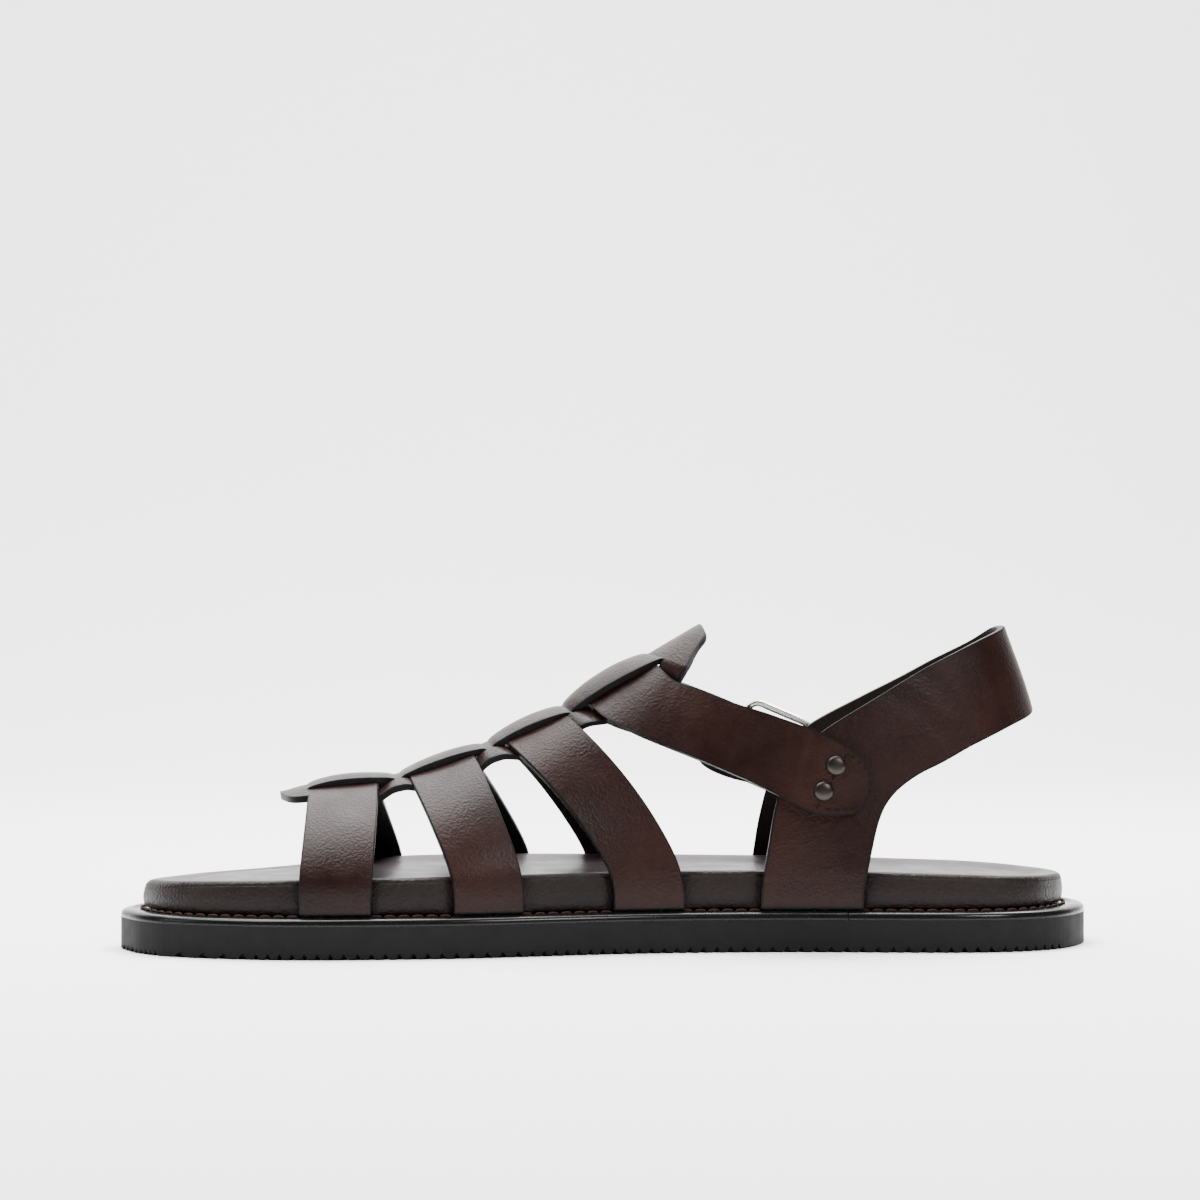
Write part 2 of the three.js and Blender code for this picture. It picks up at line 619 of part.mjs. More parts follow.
// Merges the nearly equal corners of a joined solid and leaves out the slivers between its joins.
function withoutSlivers(joined) {
  const { vertProperties, triVerts } = joined.getMesh();
  const geometry = new THREE.BufferGeometry();
  geometry.setAttribute('position', new THREE.BufferAttribute(vertProperties, 3));
  geometry.setIndex(new THREE.BufferAttribute(triVerts, 1));
  const merged = mergeVertices(geometry, finest);
  const whole = solid(Array.from(merged.attributes.position.array), Array.from(merged.index.array));
  return whole.decompose().sort((a, b) => b.volume() - a.volume())[0];
}

// Heel strap: both quarters, the strap round the heel and the outer underlay tab, in one leather.

const heelPlace = 0.84;

function quarterPoint(share, z, side, offset) {
  const x = place(share);
  if (share < heelPlace) return onLast(x, turnOf(x, z, side), offset);
  return heelSpot(heelWay(x, z), z, side, offset);
}

function heelSpot(way, z, side, offset) {
  const outwards = new THREE.Vector3(way > 0.9 ? 1 : 0.1, way > 0.99 ? 0 : side, 0);
  return offsetPoint((u, v) => heelPoint(u, v, side), way, z, offset, outwards);
}

function quarterRows(table, side, offset) {
  const rows = table.map((row) => [0, 0.25, 0.5, 0.75, 1].map((t) => quarterPoint(
    mix(row.front, row.rear, t), mix(row.frontHeight, row.rearHeight, t) * heelStrapHeight, side, offset)));
  const back = HEEL_BACK.map((row) => [0, 0.25, 0.5, 0.75, 1].map((t) => heelSpot(
    row.way, mix(row.topHeight, row.lowHeight, t) * heelStrapHeight, side, offset)));
  return { rows, back };
}

function makeHeelStrap() {
  const grid = (offset) => {
    const inner = quarterRows(INNER_QUARTER, -1, offset);
    const outer = quarterRows(OUTER_QUARTER, 1, offset);
    return [...inner.rows, ...inner.back, outer.back[0], ...outer.rows.slice().reverse()];
  };
  const strap = withFeet(grid(leather), grid(0), [-1, 1]);
  const tab = (offset) => UNDERLAY.map((row) => [0, 0.25, 0.5, 0.75, 1].map((t) => quarterPoint(
    mix(row.upper, row.lower, t), mix(row.upperHeight, row.lowerHeight, t) * heelStrapHeight, 1, offset)));
  const underlay = sheet(tab(leather), tab(0));
  return RIVETS.reduce((whole, rivet) => whole.subtract(rivetHole(rivet)), strap.add(underlay));
}

// Ankle strap

const ankleRows = ANKLE_STRAP.map((row) => ({
  upper: place(row.upper),
  upperTurn: turnOf(place(row.upper), row.upperHeight * instepHeight, row.side),
  lower: place(row.lower),
  lowerTurn: turnOf(place(row.lower), row.lowerHeight * instepHeight, row.side),
  lift: row.lift * (leather + clearance),
  row: 0,
}));
ankleRows.forEach((row, k) => { row.row = k; });

// A point of the ankle strap: its row in the table, its share of the way down across it and its offset.
function anklePoint(row, across, offset) {
  const value = (column) => read(ankleRows, 'row', row, column);
  const x = mix(value('upper'), value('lower'), across);
  const turn = mix(value('upperTurn'), value('lowerTurn'), across);
  return onLast(x, turn, value('lift') + offset);
}

function anklePatch(from, to, steps, edge, low, high) {
  const grid = (offset) => Array.from({ length: steps + 1 }, (unused, k) => (
    [0, 0.25, 0.5, 0.75, 1].map((t) =>
      anklePoint(mix(from, to, k / steps), mix(-edge, 1 + edge, t), offset))));
  return sheet(grid(high), grid(low));
}

// A sheet under the ankle strap, between two offsets from the last.
function surfacePatch(from, to, steps, acrosses, low, high) {
  const grid = (offset) => Array.from({ length: steps + 1 }, (unused, k) => {
    const row = mix(from, to, k / steps);
    const lift = read(ankleRows, 'row', row, 'lift');
    return acrosses.map((across) => anklePoint(row, across, offset - lift));
  });
  return sheet(grid(high), grid(low));
}

function makeAnkleStrap() {
  const strap = anklePatch(0, ankleRows.length - 1, 2 * (ankleRows.length - 1), 0, 0, leather);
  const pierced = RIVETS.reduce((whole, rivet) => whole.subtract(rivetHole(rivet)), strap);
  return pierced.subtract(prongSolid(clearance));
}

// Rivets: domed heads on the inner tab, through both leathers.

const RIVETS = [
  { name: 'rivet_upper', along: 0.7233, height: 0.569 },
  { name: 'rivet_lower', along: 0.7105, height: 0.491 },
];

function rivetFrame(rivet) {
  const x = place(rivet.along);
  const turn = turnOf(x, rivet.height * heelStrapHeight, -1);
  const foot = onLast(x, turn, 2 * leather + 2 * clearance);
  const axis = onLast(x, turn, 3 * leather + 2 * clearance).sub(foot);
  const turned = new THREE.Quaternion().setFromUnitVectors(new THREE.Vector3(0, 1, 0), axis.normalize());
  return new THREE.Matrix4().compose(foot, turned, new THREE.Vector3(1, 1, 1));
}

function rivetHole(rivet) {
  const radius = rivetShank / 2 + clearance;
  const hole = new THREE.CylinderGeometry(radius, radius, 8 * leather, 12);
  return solidOf(hole, rivetFrame(rivet));
}

function makeRivet(rivet) {
  const head = rivetDiameter / 2;
  const inside = -2 * leather - 3 * clearance;
  const profile = [
    [0, inside - 0.7], [head * 0.75, inside - 0.7], [head * 0.75, inside], [rivetShank / 2, inside],
    [rivetShank / 2, clearance], [head, clearance], [head, clearance + 0.3],
    [head * 0.8, clearance + 0.6 * rivetDome],
    [head * 0.45, clearance + 0.9 * rivetDome], [0, clearance + rivetDome],
  ].map(([radius, height]) => new THREE.Vector2(radius, height));
  return solidOf(new THREE.LatheGeometry(profile, 12), rivetFrame(rivet));
}

// Buckle on the outer side: a flat rounded frame, its prong and the leather chape round its rear bar.

const frontBarRow = 14.3;
const rearBarRow = 15.9;
const rearBarLift = 2.35 * leather;
const frontBarLift = 2.85 * leather;
const buckleRadius = buckleWire / 2;
const barBore = buckleRadius * 1.25 + clearance;

const buckleFrame = (() => {
  const bar = (row, offset) => {
    const value = (column) => (read(ankleRows, 'row', row, `upper${column}`) + read(ankleRows, 'row', row,
      `lower${column}`)) / 2;
    return onLast(value(''), value('Turn'), offset);
  };
  const front = bar(frontBarRow, frontBarLift);
  const rear = bar(rearBarRow, rearBarLift);
  const along = rear.clone().sub(front).normalize();
  const out = bar(15, 10).sub(bar(15, 0)).normalize();
  const across = out.clone().cross(along).normalize();
  const normal = along.clone().cross(across);
  const centre = front.add(rear).multiplyScalar(0.5);
  return new THREE.Matrix4().makeBasis(along, across, normal).setPosition(centre);
})();

function roundedBox(width, height, radius) {
  const shape = new THREE.Shape();
  const [x, y] = [width / 2 - radius, height / 2 - radius];
  shape.absarc(x, y, radius, 0, Math.PI / 2);
  shape.absarc(-x, y, radius, Math.PI / 2, Math.PI);
  shape.absarc(-x, -y, radius, Math.PI, 1.5 * Math.PI);
  shape.absarc(x, -y, radius, 1.5 * Math.PI, 2 * Math.PI);
  return shape;
}

// A flat outline, extruded to a thickness about its own plane.
function plate(shape, thickness, bevel = 0) {
  const geometry = new THREE.ExtrudeGeometry(shape, {
    depth: thickness - 2 * bevel, bevelEnabled: bevel > 0, bevelSize: bevel, bevelThickness: bevel,
    bevelOffset: -bevel, bevelSegments: 2, curveSegments: 4,
  });
  return geometry.translate(0, 0, bevel - thickness / 2);
}

function makeBuckleFrame() {
  const inside = { length: buckleLength - buckleWire, width: strapWidth + 7 * clearance };
  const shape = roundedBox(inside.length + 2 * buckleWire, inside.width + 2 * buckleWire, 2.2 * buckleWire);
  shape.holes.push(roundedBox(inside.length, inside.width, buckleWire));
  return solidOf(plate(shape, buckleWire, buckleWire * 0.3), buckleFrame);
}

// In the buckle's own frame, x runs to the rear and z outwards; a side view is turned to stand across it.
const sideways = new THREE.Matrix4().makeRotationX(Math.PI / 2);

function prongSolid(extra) {
  const rear = buckleLength / 2;
  const shape = new THREE.Shape();
  const thick = buckleWire * 0.6 + 2 * extra;
  const ringOut = barBore + buckleWire * 0.45 + extra;
  const rest = buckleRadius + clearance - extra;
  shape.moveTo(-rear - buckleWire, rest);
  shape.lineTo(rear - ringOut * 0.6, ringOut * 0.3);
  shape.absarc(rear, 0, ringOut, Math.PI * 0.97, Math.PI * 2.5);
  shape.lineTo(-rear - buckleWire, rest + thick);
  const bore = new THREE.Path();
  bore.absarc(rear, 0, Math.max(barBore - extra, clearance), 0, 2 * Math.PI);
  shape.holes.push(bore);
  const width = buckleWire * 0.8 + 2 * extra;
  return solidOf(plate(shape, width), buckleFrame.clone().multiply(sideways));
}

function makeChape() {
  const rear = buckleLength / 2;
  const outside = barBore + chapeLeather * 0.55;
  const loop = new THREE.Shape();
  loop.absarc(rear, 0, outside, 0, 2 * Math.PI);
  const bore = new THREE.Path();
  bore.absarc(rear, 0, barBore, 0, 2 * Math.PI);
  loop.holes.push(bore);
  const under = leather + 1.5 * clearance;
  const tail = surfacePatch(
    rearBarRow + 0.32, 17.2, 6, [0.27, 0.5, 0.73], under, under + chapeLeather * 0.6);
  const width = strapWidth * 0.6;
  const whole = solidOf(plate(loop, width), buckleFrame.clone().multiply(sideways)).add(tail);
  const slot = new THREE.BoxGeometry(2.6 * outside, buckleWire * 0.8 + 4 * clearance, 6 * outside);
  const spot = buckleFrame.clone().multiply(new THREE.Matrix4().makeTranslation(rear, 0, 0));
  return withoutSlivers(whole.subtract(solidOf(slot, spot)));
}

// Keeper: a leather loop round the strap's tip.
function makeKeeper() {
  const [from, to] = [17.5, 17.5 + keeperWidth / 11];
  const roomy = clearance;
  const block = anklePatch(
    from, to, 3, 0.12, -roomy - keeperLeather * 0.5, leather + roomy + keeperLeather * 0.75);
  const inside = anklePatch(from - 0.3, to + 0.3, 4, 0.03, -roomy, leather + roomy);
  return block.subtract(inside);
}

// The assembly: one named mesh for each piece, with its colour and gloss.

const finishes = {
  rubber: { color: 0x323234, roughness: 0.75, metalness: 0 },
  welting: { color: 0x161415, roughness: 0.35, metalness: 0 },
  leather: { color: 0x38262a, roughness: 0.45, metalness: 0 },
  footbedLeather: { color: 0x3d2e31, roughness: 0.5, metalness: 0 },
  gunmetal: { color: 0x3a3836, roughness: 0.3, metalness: 1 },
  nickel: { color: 0xb4b0a8, roughness: 0.25, metalness: 1 },
};

const sandal = new THREE.Group();

function addPiece(name, piece, finish) {
  const { vertProperties, triVerts } = piece.getMesh();
  const geometry = new THREE.BufferGeometry();
  geometry.setAttribute('position', new THREE.BufferAttribute(vertProperties, 3));
  geometry.setIndex(new THREE.BufferAttribute(triVerts, 1));
  geometry.computeVertexNormals();
  const mesh = new THREE.Mesh(geometry, new THREE.MeshStandardMaterial(finishes[finish]));
  mesh.name = name;
  sandal.add(mesh);
}

addPiece('outsole', makeOutsole(), 'rubber');
addPiece('welt', makeWelt(), 'welting');
addPiece('footbed', makeFootbed(), 'footbedLeather');
addPiece('upper', makeUpper(), 'leather');
addPiece('heel_strap', makeHeelStrap(), 'leather');
addPiece('ankle_strap', makeAnkleStrap(), 'leather');
RIVETS.forEach((rivet) => addPiece(rivet.name, makeRivet(rivet), 'gunmetal'));
addPiece('buckle_frame', makeBuckleFrame(), 'nickel');
addPiece('buckle_prong', prongSolid(0), 'nickel');
addPiece('buckle_chape', makeChape(), 'leather');
addPiece('keeper', makeKeeper(), 'leather');

export default sandal;
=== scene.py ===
"""A dark brown leather fisherman sandal, right shoe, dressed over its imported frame.

Sizes are in millimetres until a mesh is made, and meshes are in metres.
+X runs from toe to heel, +Y from the inner to the outer side, +Z is up.
"""
import math

import bpy
import numpy as np
from mathutils import Matrix, Vector


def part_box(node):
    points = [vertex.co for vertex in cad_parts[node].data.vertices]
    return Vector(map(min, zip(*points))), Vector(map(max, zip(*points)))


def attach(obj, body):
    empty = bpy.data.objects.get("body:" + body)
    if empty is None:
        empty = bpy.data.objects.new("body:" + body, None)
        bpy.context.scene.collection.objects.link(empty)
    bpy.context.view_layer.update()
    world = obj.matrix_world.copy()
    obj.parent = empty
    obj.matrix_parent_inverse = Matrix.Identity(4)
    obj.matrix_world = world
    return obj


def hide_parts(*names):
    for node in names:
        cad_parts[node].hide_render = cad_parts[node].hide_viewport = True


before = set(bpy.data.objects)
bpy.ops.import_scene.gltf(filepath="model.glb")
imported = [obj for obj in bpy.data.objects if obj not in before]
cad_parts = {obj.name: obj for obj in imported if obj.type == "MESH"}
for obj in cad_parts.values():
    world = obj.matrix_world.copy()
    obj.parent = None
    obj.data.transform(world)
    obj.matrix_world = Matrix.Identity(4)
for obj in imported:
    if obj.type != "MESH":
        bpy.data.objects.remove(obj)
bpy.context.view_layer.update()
BODY = "root"
MM = 0.001

# Heights read from the frame's nodes
OUTSOLE_TOP = float(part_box("outsole")[1][2]) * 1000
WELT_FOOT = float(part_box("welt")[0][2]) * 1000
WELT_TOP = float(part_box("welt")[1][2]) * 1000

# Sizes shared with the construction
SOLE_LENGTH = 296.0
SOLE_WIDTH = 105.0
CLEARANCE = 0.3
FOOTBED_FOOT = WELT_TOP + CLEARANCE
FOOTBED_HEIGHT = 10.6
SIDE_LEDGE = 5.2
END_LEDGE = 7.0
DISH = 1.6
LEATHER = 2.4
STRIP_LEATHER = 2.2
INSTEP_HEIGHT = 98.5
HEEL_STRAP_HEIGHT = 97.2
RIDGE = -8.0
ANKLE_HALF_WIDTH = 30.0
WALL_GAP = 0.45
STRIP_WIDTH = 27.5
BAND_WIDTH = 16.0
SLIT_WIDTH = 0.5
SIDE_FOOT = 2.0
WELT_WIDTH = 12.0
GROOVE_PITCH = 4.05
GROOVE_LEAN = 0.75
TREAD_ARM = 24.0

# The line along the shoe that parts its inner side from its outer side
MIDDLE_LINE = -9.5

# The sole's outline: (share along from the toe, share across from the middle)
OUTLINE = [
    (0.0000, -0.090), (0.0085, -0.185), (0.0220, -0.266), (0.0420, -0.333), (0.0690, -0.385),
    (0.1050, -0.432), (0.1500, -0.474), (0.2050, -0.498), (0.2700, -0.500), (0.3400, -0.490),
    (0.4100, -0.457), (0.4800, -0.418), (0.5500, -0.396), (0.6200, -0.394), (0.7000, -0.410),
    (0.7800, -0.443), (0.8500, -0.464), (0.9050, -0.450), (0.9500, -0.390), (0.9820, -0.280),
    (0.9980, -0.165), (0.9990, -0.040), (0.9830, 0.075), (0.9500, 0.180), (0.9000, 0.245),
    (0.8300, 0.272), (0.7500, 0.292), (0.6700, 0.325), (0.5900, 0.372), (0.5100, 0.430),
    (0.4300, 0.481), (0.3550, 0.500), (0.2850, 0.482), (0.2150, 0.438), (0.1450, 0.366),
    (0.0850, 0.278), (0.0400, 0.170), (0.0120, 0.050),
]
# The footbed's rim: (share along, share of the footbed's height)
RIM = np.array([
    (0.00, 0.82), (0.06, 0.90), (0.20, 1.00), (0.50, 1.08), (0.70, 1.08), (0.85, 0.98), (1.00, 0.83)])
# The last: (share along, crest as a share of the instep height, fullness of the sides)
LAST = np.array([
    (0.100, 0.455, 1.35), (0.165, 0.478, 1.35), (0.191, 0.498, 1.35), (0.284, 0.531, 1.32),
    (0.376, 0.627, 1.30), (0.463, 0.752, 1.32), (0.544, 0.898, 1.40), (0.602, 1.000, 1.50),
    (0.680, 1.130, 1.70), (0.780, 1.270, 1.90), (0.900, 1.370, 2.00),
])
# The cross straps: front and rear edge at the inner wall, at the crest and at the outer wall
STRAPS = {
    "toe": ((0.180, 0.252), (0.192, 0.263), (0.226, 0.298)),
    "ball": ((0.334, 0.405), (0.294, 0.361), (0.366, 0.437)),
    "instep": ((0.497, 0.570), (0.391, 0.453), (0.497, 0.568)),
}
# The centre strip's slits: (front, rear) shares along
SLITS = ((0.1912, 0.2804), (0.2872, 0.3730), (0.3797, 0.4565), (0.4583, 0.5480))
STRIP_FRONT = 0.1635
STRIP_REAR = 0.6020
# How far the straps run back from the crest to the walls: (share along, inner, outer)
LEANS = np.array([
    (0.2275, -0.0115, 0.0345), (0.3275, 0.042, 0.074), (0.422, 0.1115, 0.1105),
    (0.480, 0.14, 0.12), (0.545, 0.26, 0.24), (0.602, 0.14, 0.14),
])
# The heel: (share of the strap's height, back along the sole, half width as a share of the ankle's)
HEEL = np.array([(0.20, 0.968, 1.04), (0.45, 0.957, 1.02), (0.74, 0.9395, 0.93), (1.00, 0.9100, 0.80)])
HEEL_FRONT = 0.669
HEEL_ROUNDNESS = 2.6
ANKLE_BLEND = (0.640, 0.740)
HEEL_PLACE = 0.84
# Quarters, from each foot up and round: (front, its height, rear, its height)
INNER_QUARTER = [
    (0.6473, 0.16, 0.7510, 0.16), (0.6510, 0.24, 0.7554, 0.24), (0.6571, 0.36, 0.7642, 0.36),
    (0.6655, 0.481, 0.7723, 0.436), (0.6790, 0.586, 0.7858, 0.492), (0.7090, 0.672, 0.8095, 0.541),
    (0.7600, 0.766, 0.8361, 0.581), (0.8118, 0.859, 0.8635, 0.626), (0.8460, 0.911, 0.8834, 0.654),
    (0.8818, 0.960, 0.9088, 0.689),
]
OUTER_QUARTER = [
    (0.6689, 0.16, 0.7703, 0.16), (0.6709, 0.24, 0.7736, 0.24), (0.6757, 0.36, 0.7804, 0.35),
    (0.6834, 0.463, 0.7872, 0.427), (0.6926, 0.566, 0.7990, 0.478), (0.7247, 0.669, 0.8209, 0.525),
    (0.7743, 0.754, 0.8446, 0.566), (0.8284, 0.841, 0.8699, 0.615), (0.8574, 0.893, 0.8885, 0.648),
    (0.8858, 0.940, 0.9120, 0.687),
]
HEEL_BACK = ((0.985, 0.992, 0.722), (1.000, 1.000, 0.738))
UNDERLAY = [
    (0.6070, 0.628, 0.6070, 0.585), (0.6140, 0.674, 0.6150, 0.546), (0.6350, 0.698, 0.6350, 0.512),
    (0.6620, 0.694, 0.6620, 0.488), (0.7000, 0.640, 0.7000, 0.470),
]
# The ankle strap: (side, upper, its height, lower, its height, leathers underneath)
ANKLE_STRAP = [
    (-1, 0.7595, 0.530, 0.7590, 0.480, 1.1), (-1, 0.7534, 0.567, 0.7507, 0.442, 1.1),
    (-1, 0.7400, 0.606, 0.7365, 0.411, 1.1), (-1, 0.7074, 0.664, 0.7027, 0.414, 1.1),
    (-1, 0.6747, 0.698, 0.6660, 0.470, 1.1), (-1, 0.6294, 0.742, 0.6060, 0.553, 0.3),
    (-1, 0.5899, 0.789, 0.5540, 0.618, 0), (-1, 0.5620, 0.823, 0.5180, 0.665, 0),
    (-1, 0.5375, 0.866, 0.4900, 0.710, 0), (1, 0.5250, 9, 0.4757, 9, 0),
    (1, 0.5375, 0.840, 0.4900, 0.715, 0), (1, 0.5640, 0.812, 0.5180, 0.662, 0.1),
    (1, 0.5980, 0.777, 0.5680, 0.600, 0.9), (1, 0.6351, 0.738, 0.6180, 0.548, 1.05),
    (1, 0.6622, 0.710, 0.6480, 0.518, 1.1), (1, 0.6960, 0.676, 0.6820, 0.482, 3.0),
    (1, 0.7160, 0.656, 0.7020, 0.460, 3.6), (1, 0.7534, 0.618, 0.7380, 0.424, 2.1),
    (1, 0.7905, 0.580, 0.7750, 0.395, 1.6), (1, 0.8100, 0.525, 0.8040, 0.440, 1.3),
]
RIVETS = {"rivet_upper": (0.7233, 0.569), "rivet_lower": (0.7105, 0.491)}


# The shared shape: outline, rim and last


def place(share):
    return (np.asarray(share, float) - 0.5) * SOLE_LENGTH


def share_of(x):
    return np.asarray(x, float) / SOLE_LENGTH + 0.5


def mix(a, b, t):
    return a + (b - a) * t


def smoothstep(value, low, high):
    t = np.clip((np.asarray(value, float) - low) / (high - low), 0, 1)
    return t * t * (3 - 2 * t)


def read(table, at, column):
    """A smooth reading of a table's column at values of its first column."""
    keys, values = table[:, 0], table[:, column]
    at = np.clip(np.asarray(at, float), keys[0], keys[-1])
    row = np.clip(np.searchsorted(keys, at, side="left") - 1, 0, len(keys) - 2)
    count = len(keys) - 1
    low = np.maximum(np.arange(len(keys)) - 1, 0)
    high = np.minimum(np.arange(len(keys)) + 1, count)
    slope = (values[high] - values[low]) / (keys[high] - keys[low])
    step = keys[row + 1] - keys[row]
    t = (at - keys[row]) / step
    start = values[row] * (1 + 2 * t) * (1 - t) ** 2
    finish = values[row + 1] * (3 - 2 * t) * t ** 2
    return start + finish + step * t * (1 - t) * (slope[row] * (1 - t) - slope[row + 1] * t)


def run_of(path):
    """The distance along a path at each of its points."""
    return np.concatenate([[0], np.cumsum(np.linalg.norm(np.diff(path, axis=0), axis=1))])


def closed_curve(points, count):
    """Evenly spaced points on a smooth closed curve through the given ones (centripetal)."""
    points = np.array(points, float)
    total = len(points)
    fine = []
    for k in range(total):
        p = [points[(k + d) % total] for d in (-1, 0, 1, 2)]
        knots = [0.0]
        for a, b in zip(p, p[1:]):
            knots.append(knots[-1] + math.sqrt(np.linalg.norm(b - a)))
        slope_in = (p[1] - p[0]) / (knots[1] - knots[0]) - (p[2] - p[0]) / (knots[2] - knots[0])
        slope_in = (slope_in + (p[2] - p[1]) / (knots[2] - knots[1])) * (knots[2] - knots[1])
        slope_out = (p[2] - p[1]) / (knots[2] - knots[1]) - (p[3] - p[1]) / (knots[3] - knots[1])
        slope_out = (slope_out + (p[3] - p[2]) / (knots[3] - knots[2])) * (knots[2] - knots[1])
        t = np.linspace(0, 1, 40, endpoint=False)[:, None]
        fine.append(
            p[1] * (2 * t**3 - 3 * t**2 + 1) + slope_in * (t**3 - 2 * t**2 + t)
            + p[2] * (3 * t**2 - 2 * t**3) + slope_out * (t**3 - t**2))
    fine = np.concatenate(fine)
    loop = np.vstack([fine, fine[:1]])
    run = run_of(loop)
    at = np.linspace(0, run[-1], count, endpoint=False)
    return np.stack([np.interp(at, run, loop[:, k]) for k in range(2)], axis=1)


def outline_points(count):
    corners = [(float(place(along)), across * SOLE_WIDTH) for along, across in OUTLINE]
    return closed_curve(corners, count)


def inward_normals(points):
    run = np.roll(points, -1, axis=0) - np.roll(points, 1, axis=0)
    run /= np.linalg.norm(run, axis=1)[:, None]
    return np.stack([-run[:, 1], run[:, 0]], axis=1)


def ledge(x):
    along = share_of(x)
    ends = np.maximum(np.maximum(1 - along / 0.08, 1 - (1 - along) / 0.10), 0)
    return mix(SIDE_LEDGE, END_LEDGE, smoothstep(ends, 0, 0.8))


def rim_height(along):
    return FOOTBED_FOOT + FOOTBED_HEIGHT * read(RIM, along, 1)


def footbed_walls():
    """The footbed's inner and outer wall, each as points sorted from toe to heel."""
    loop = outline_points(1200)
    wall = loop + inward_normals(loop) * ledge(loop[:, 0])[:, None]
    sides = wall[wall[:, 1] < MIDDLE_LINE], wall[wall[:, 1] > MIDDLE_LINE]
    return [side[np.argsort(side[:, 0])] for side in sides]


INNER_WALL, OUTER_WALL = footbed_walls()


def wall_place(x, side):
    inner = np.interp(x, INNER_WALL[:, 0], INNER_WALL[:, 1])
    outer = np.interp(x, OUTER_WALL[:, 0], OUTER_WALL[:, 1])
    return np.where(np.asarray(side) < 0, inner, outer)


def base_height(x):
    return rim_height(share_of(x)) - SIDE_FOOT


def crest_height(x):
    return read(LAST, share_of(x), 1) * INSTEP_HEIGHT - LEATHER


def lift_of(x, turn):
    return np.abs(np.cos(turn)) ** (2 / read(LAST, share_of(x), 2))


def turn_of(x, z, side):
    lift = np.clip((z - base_height(x)) / (crest_height(x) - base_height(x)), 0, 1)
    return side * np.arccos(np.minimum(lift ** (read(LAST, share_of(x), 2) / 2), 1))


def heel_middle(x):
    return mix(-6, -10.5, smoothstep(share_of(x), HEEL_FRONT, 0.94))


def heel_reach(z):
    return place(read(HEEL, np.asarray(z) / HEEL_STRAP_HEIGHT, 1)) - place(HEEL_FRONT)


def heel_way(x, z):
    return (x - place(HEEL_FRONT)) / heel_reach(z)


def heel_point(way, z, side):
    x = place(HEEL_FRONT) + heel_reach(z) * way
    bulge = (1 - np.clip(way, 0, 1) ** HEEL_ROUNDNESS) ** (1 / HEEL_ROUNDNESS)
    half = ANKLE_HALF_WIDTH * read(HEEL, np.asarray(z) / HEEL_STRAP_HEIGHT, 2)
    return np.stack(np.broadcast_arrays(x, heel_middle(x) + side * half * bulge, z), axis=-1)


def last_point(x, turn):
    x, turn = np.broadcast_arrays(np.asarray(x, float), np.asarray(turn, float))
    side = np.where(turn < 0, -1.0, 1.0)
    z = mix(base_height(x), crest_height(x), lift_of(x, turn))
    wall = wall_place(x, side) + side * WALL_GAP
    foot = RIDGE + (wall - RIDGE) * np.abs(np.sin(turn))
    blend = smoothstep(share_of(x), *ANKLE_BLEND)
    above = smoothstep(z, base_height(x), base_height(x) + 25)
    heel = mix(wall, heel_point(heel_way(x, z), z, side)[..., 1], above)
    return np.stack([x, mix(foot, heel, blend), z], axis=-1)


def offset_point(surface, u, v, offset, outwards, near=None):
    step = 1e-3
    near = v if near is None else near
    along_u = surface(u + step, near) - surface(u - step, near)
    along_v = surface(u, near + step) - surface(u, near - step)
    normal = np.cross(along_u, along_v)
    normal /= np.linalg.norm(normal, axis=-1)[..., None] + 1e-12
    flip = np.sign(np.sum(normal * outwards, axis=-1))[..., None]
    return surface(u, v) + normal * flip * np.asarray(offset)[..., None]


def on_last(x, turn, offset):
    x, turn, offset = np.broadcast_arrays(*(np.asarray(value, float) for value in (x, turn, offset)))
    outwards = np.stack([np.zeros_like(turn), np.sin(turn), np.cos(turn) + 0.3], axis=-1)
    return offset_point(last_point, x, turn, offset, outwards, 0.99 * turn)


# Mesh builders


def mesh_object(name, verts, faces, marks, materials):
    """A mesh object from points in millimetres; marks holds each face's material index."""
    mesh = bpy.data.meshes.new(name)
    mesh.from_pydata([tuple(v) for v in np.asarray(verts) * MM], [], faces)
    mesh.polygons.foreach_set("material_index", np.array(marks, dtype=np.int32))
    mesh.polygons.foreach_set("use_smooth", np.ones(len(mesh.polygons), dtype=bool))
    mesh.update()
    piece = bpy.data.objects.new(name, mesh)
    for material in materials:
        mesh.materials.append(material)
    bpy.context.scene.collection.objects.link(piece)
    return piece


def bevel(piece, width, segments=3, angle=40):
    """Rounds a piece's edges and keeps its flat faces' shading."""
    modifier = piece.modifiers.new("round edges", "BEVEL")
    modifier.width = width * MM
    modifier.segments = segments
    modifier.limit_method = "ANGLE"
    modifier.angle_limit = math.radians(angle)
    modifier.harden_normals = False
    shade = piece.modifiers.new("even shading", "WEIGHTED_NORMAL")
    shade.keep_sharp = False
    shade.weight = 60
    return piece


def turned_out(verts, faces):
    """The faces, all reversed when they enclose a negative volume."""
    verts = np.asarray(verts)
    volume = 0.0
    for face in faces:
        corner = verts[face[0]]
        for a, b in zip(face[1:-1], face[2:]):
            volume += np.dot(corner, np.cross(verts[a], verts[b]))
    return faces if volume > 0 else [tuple(reversed(face)) for face in faces]


# A sheet's materials, by number
FACE, EDGE, UNDERSIDE = range(3)


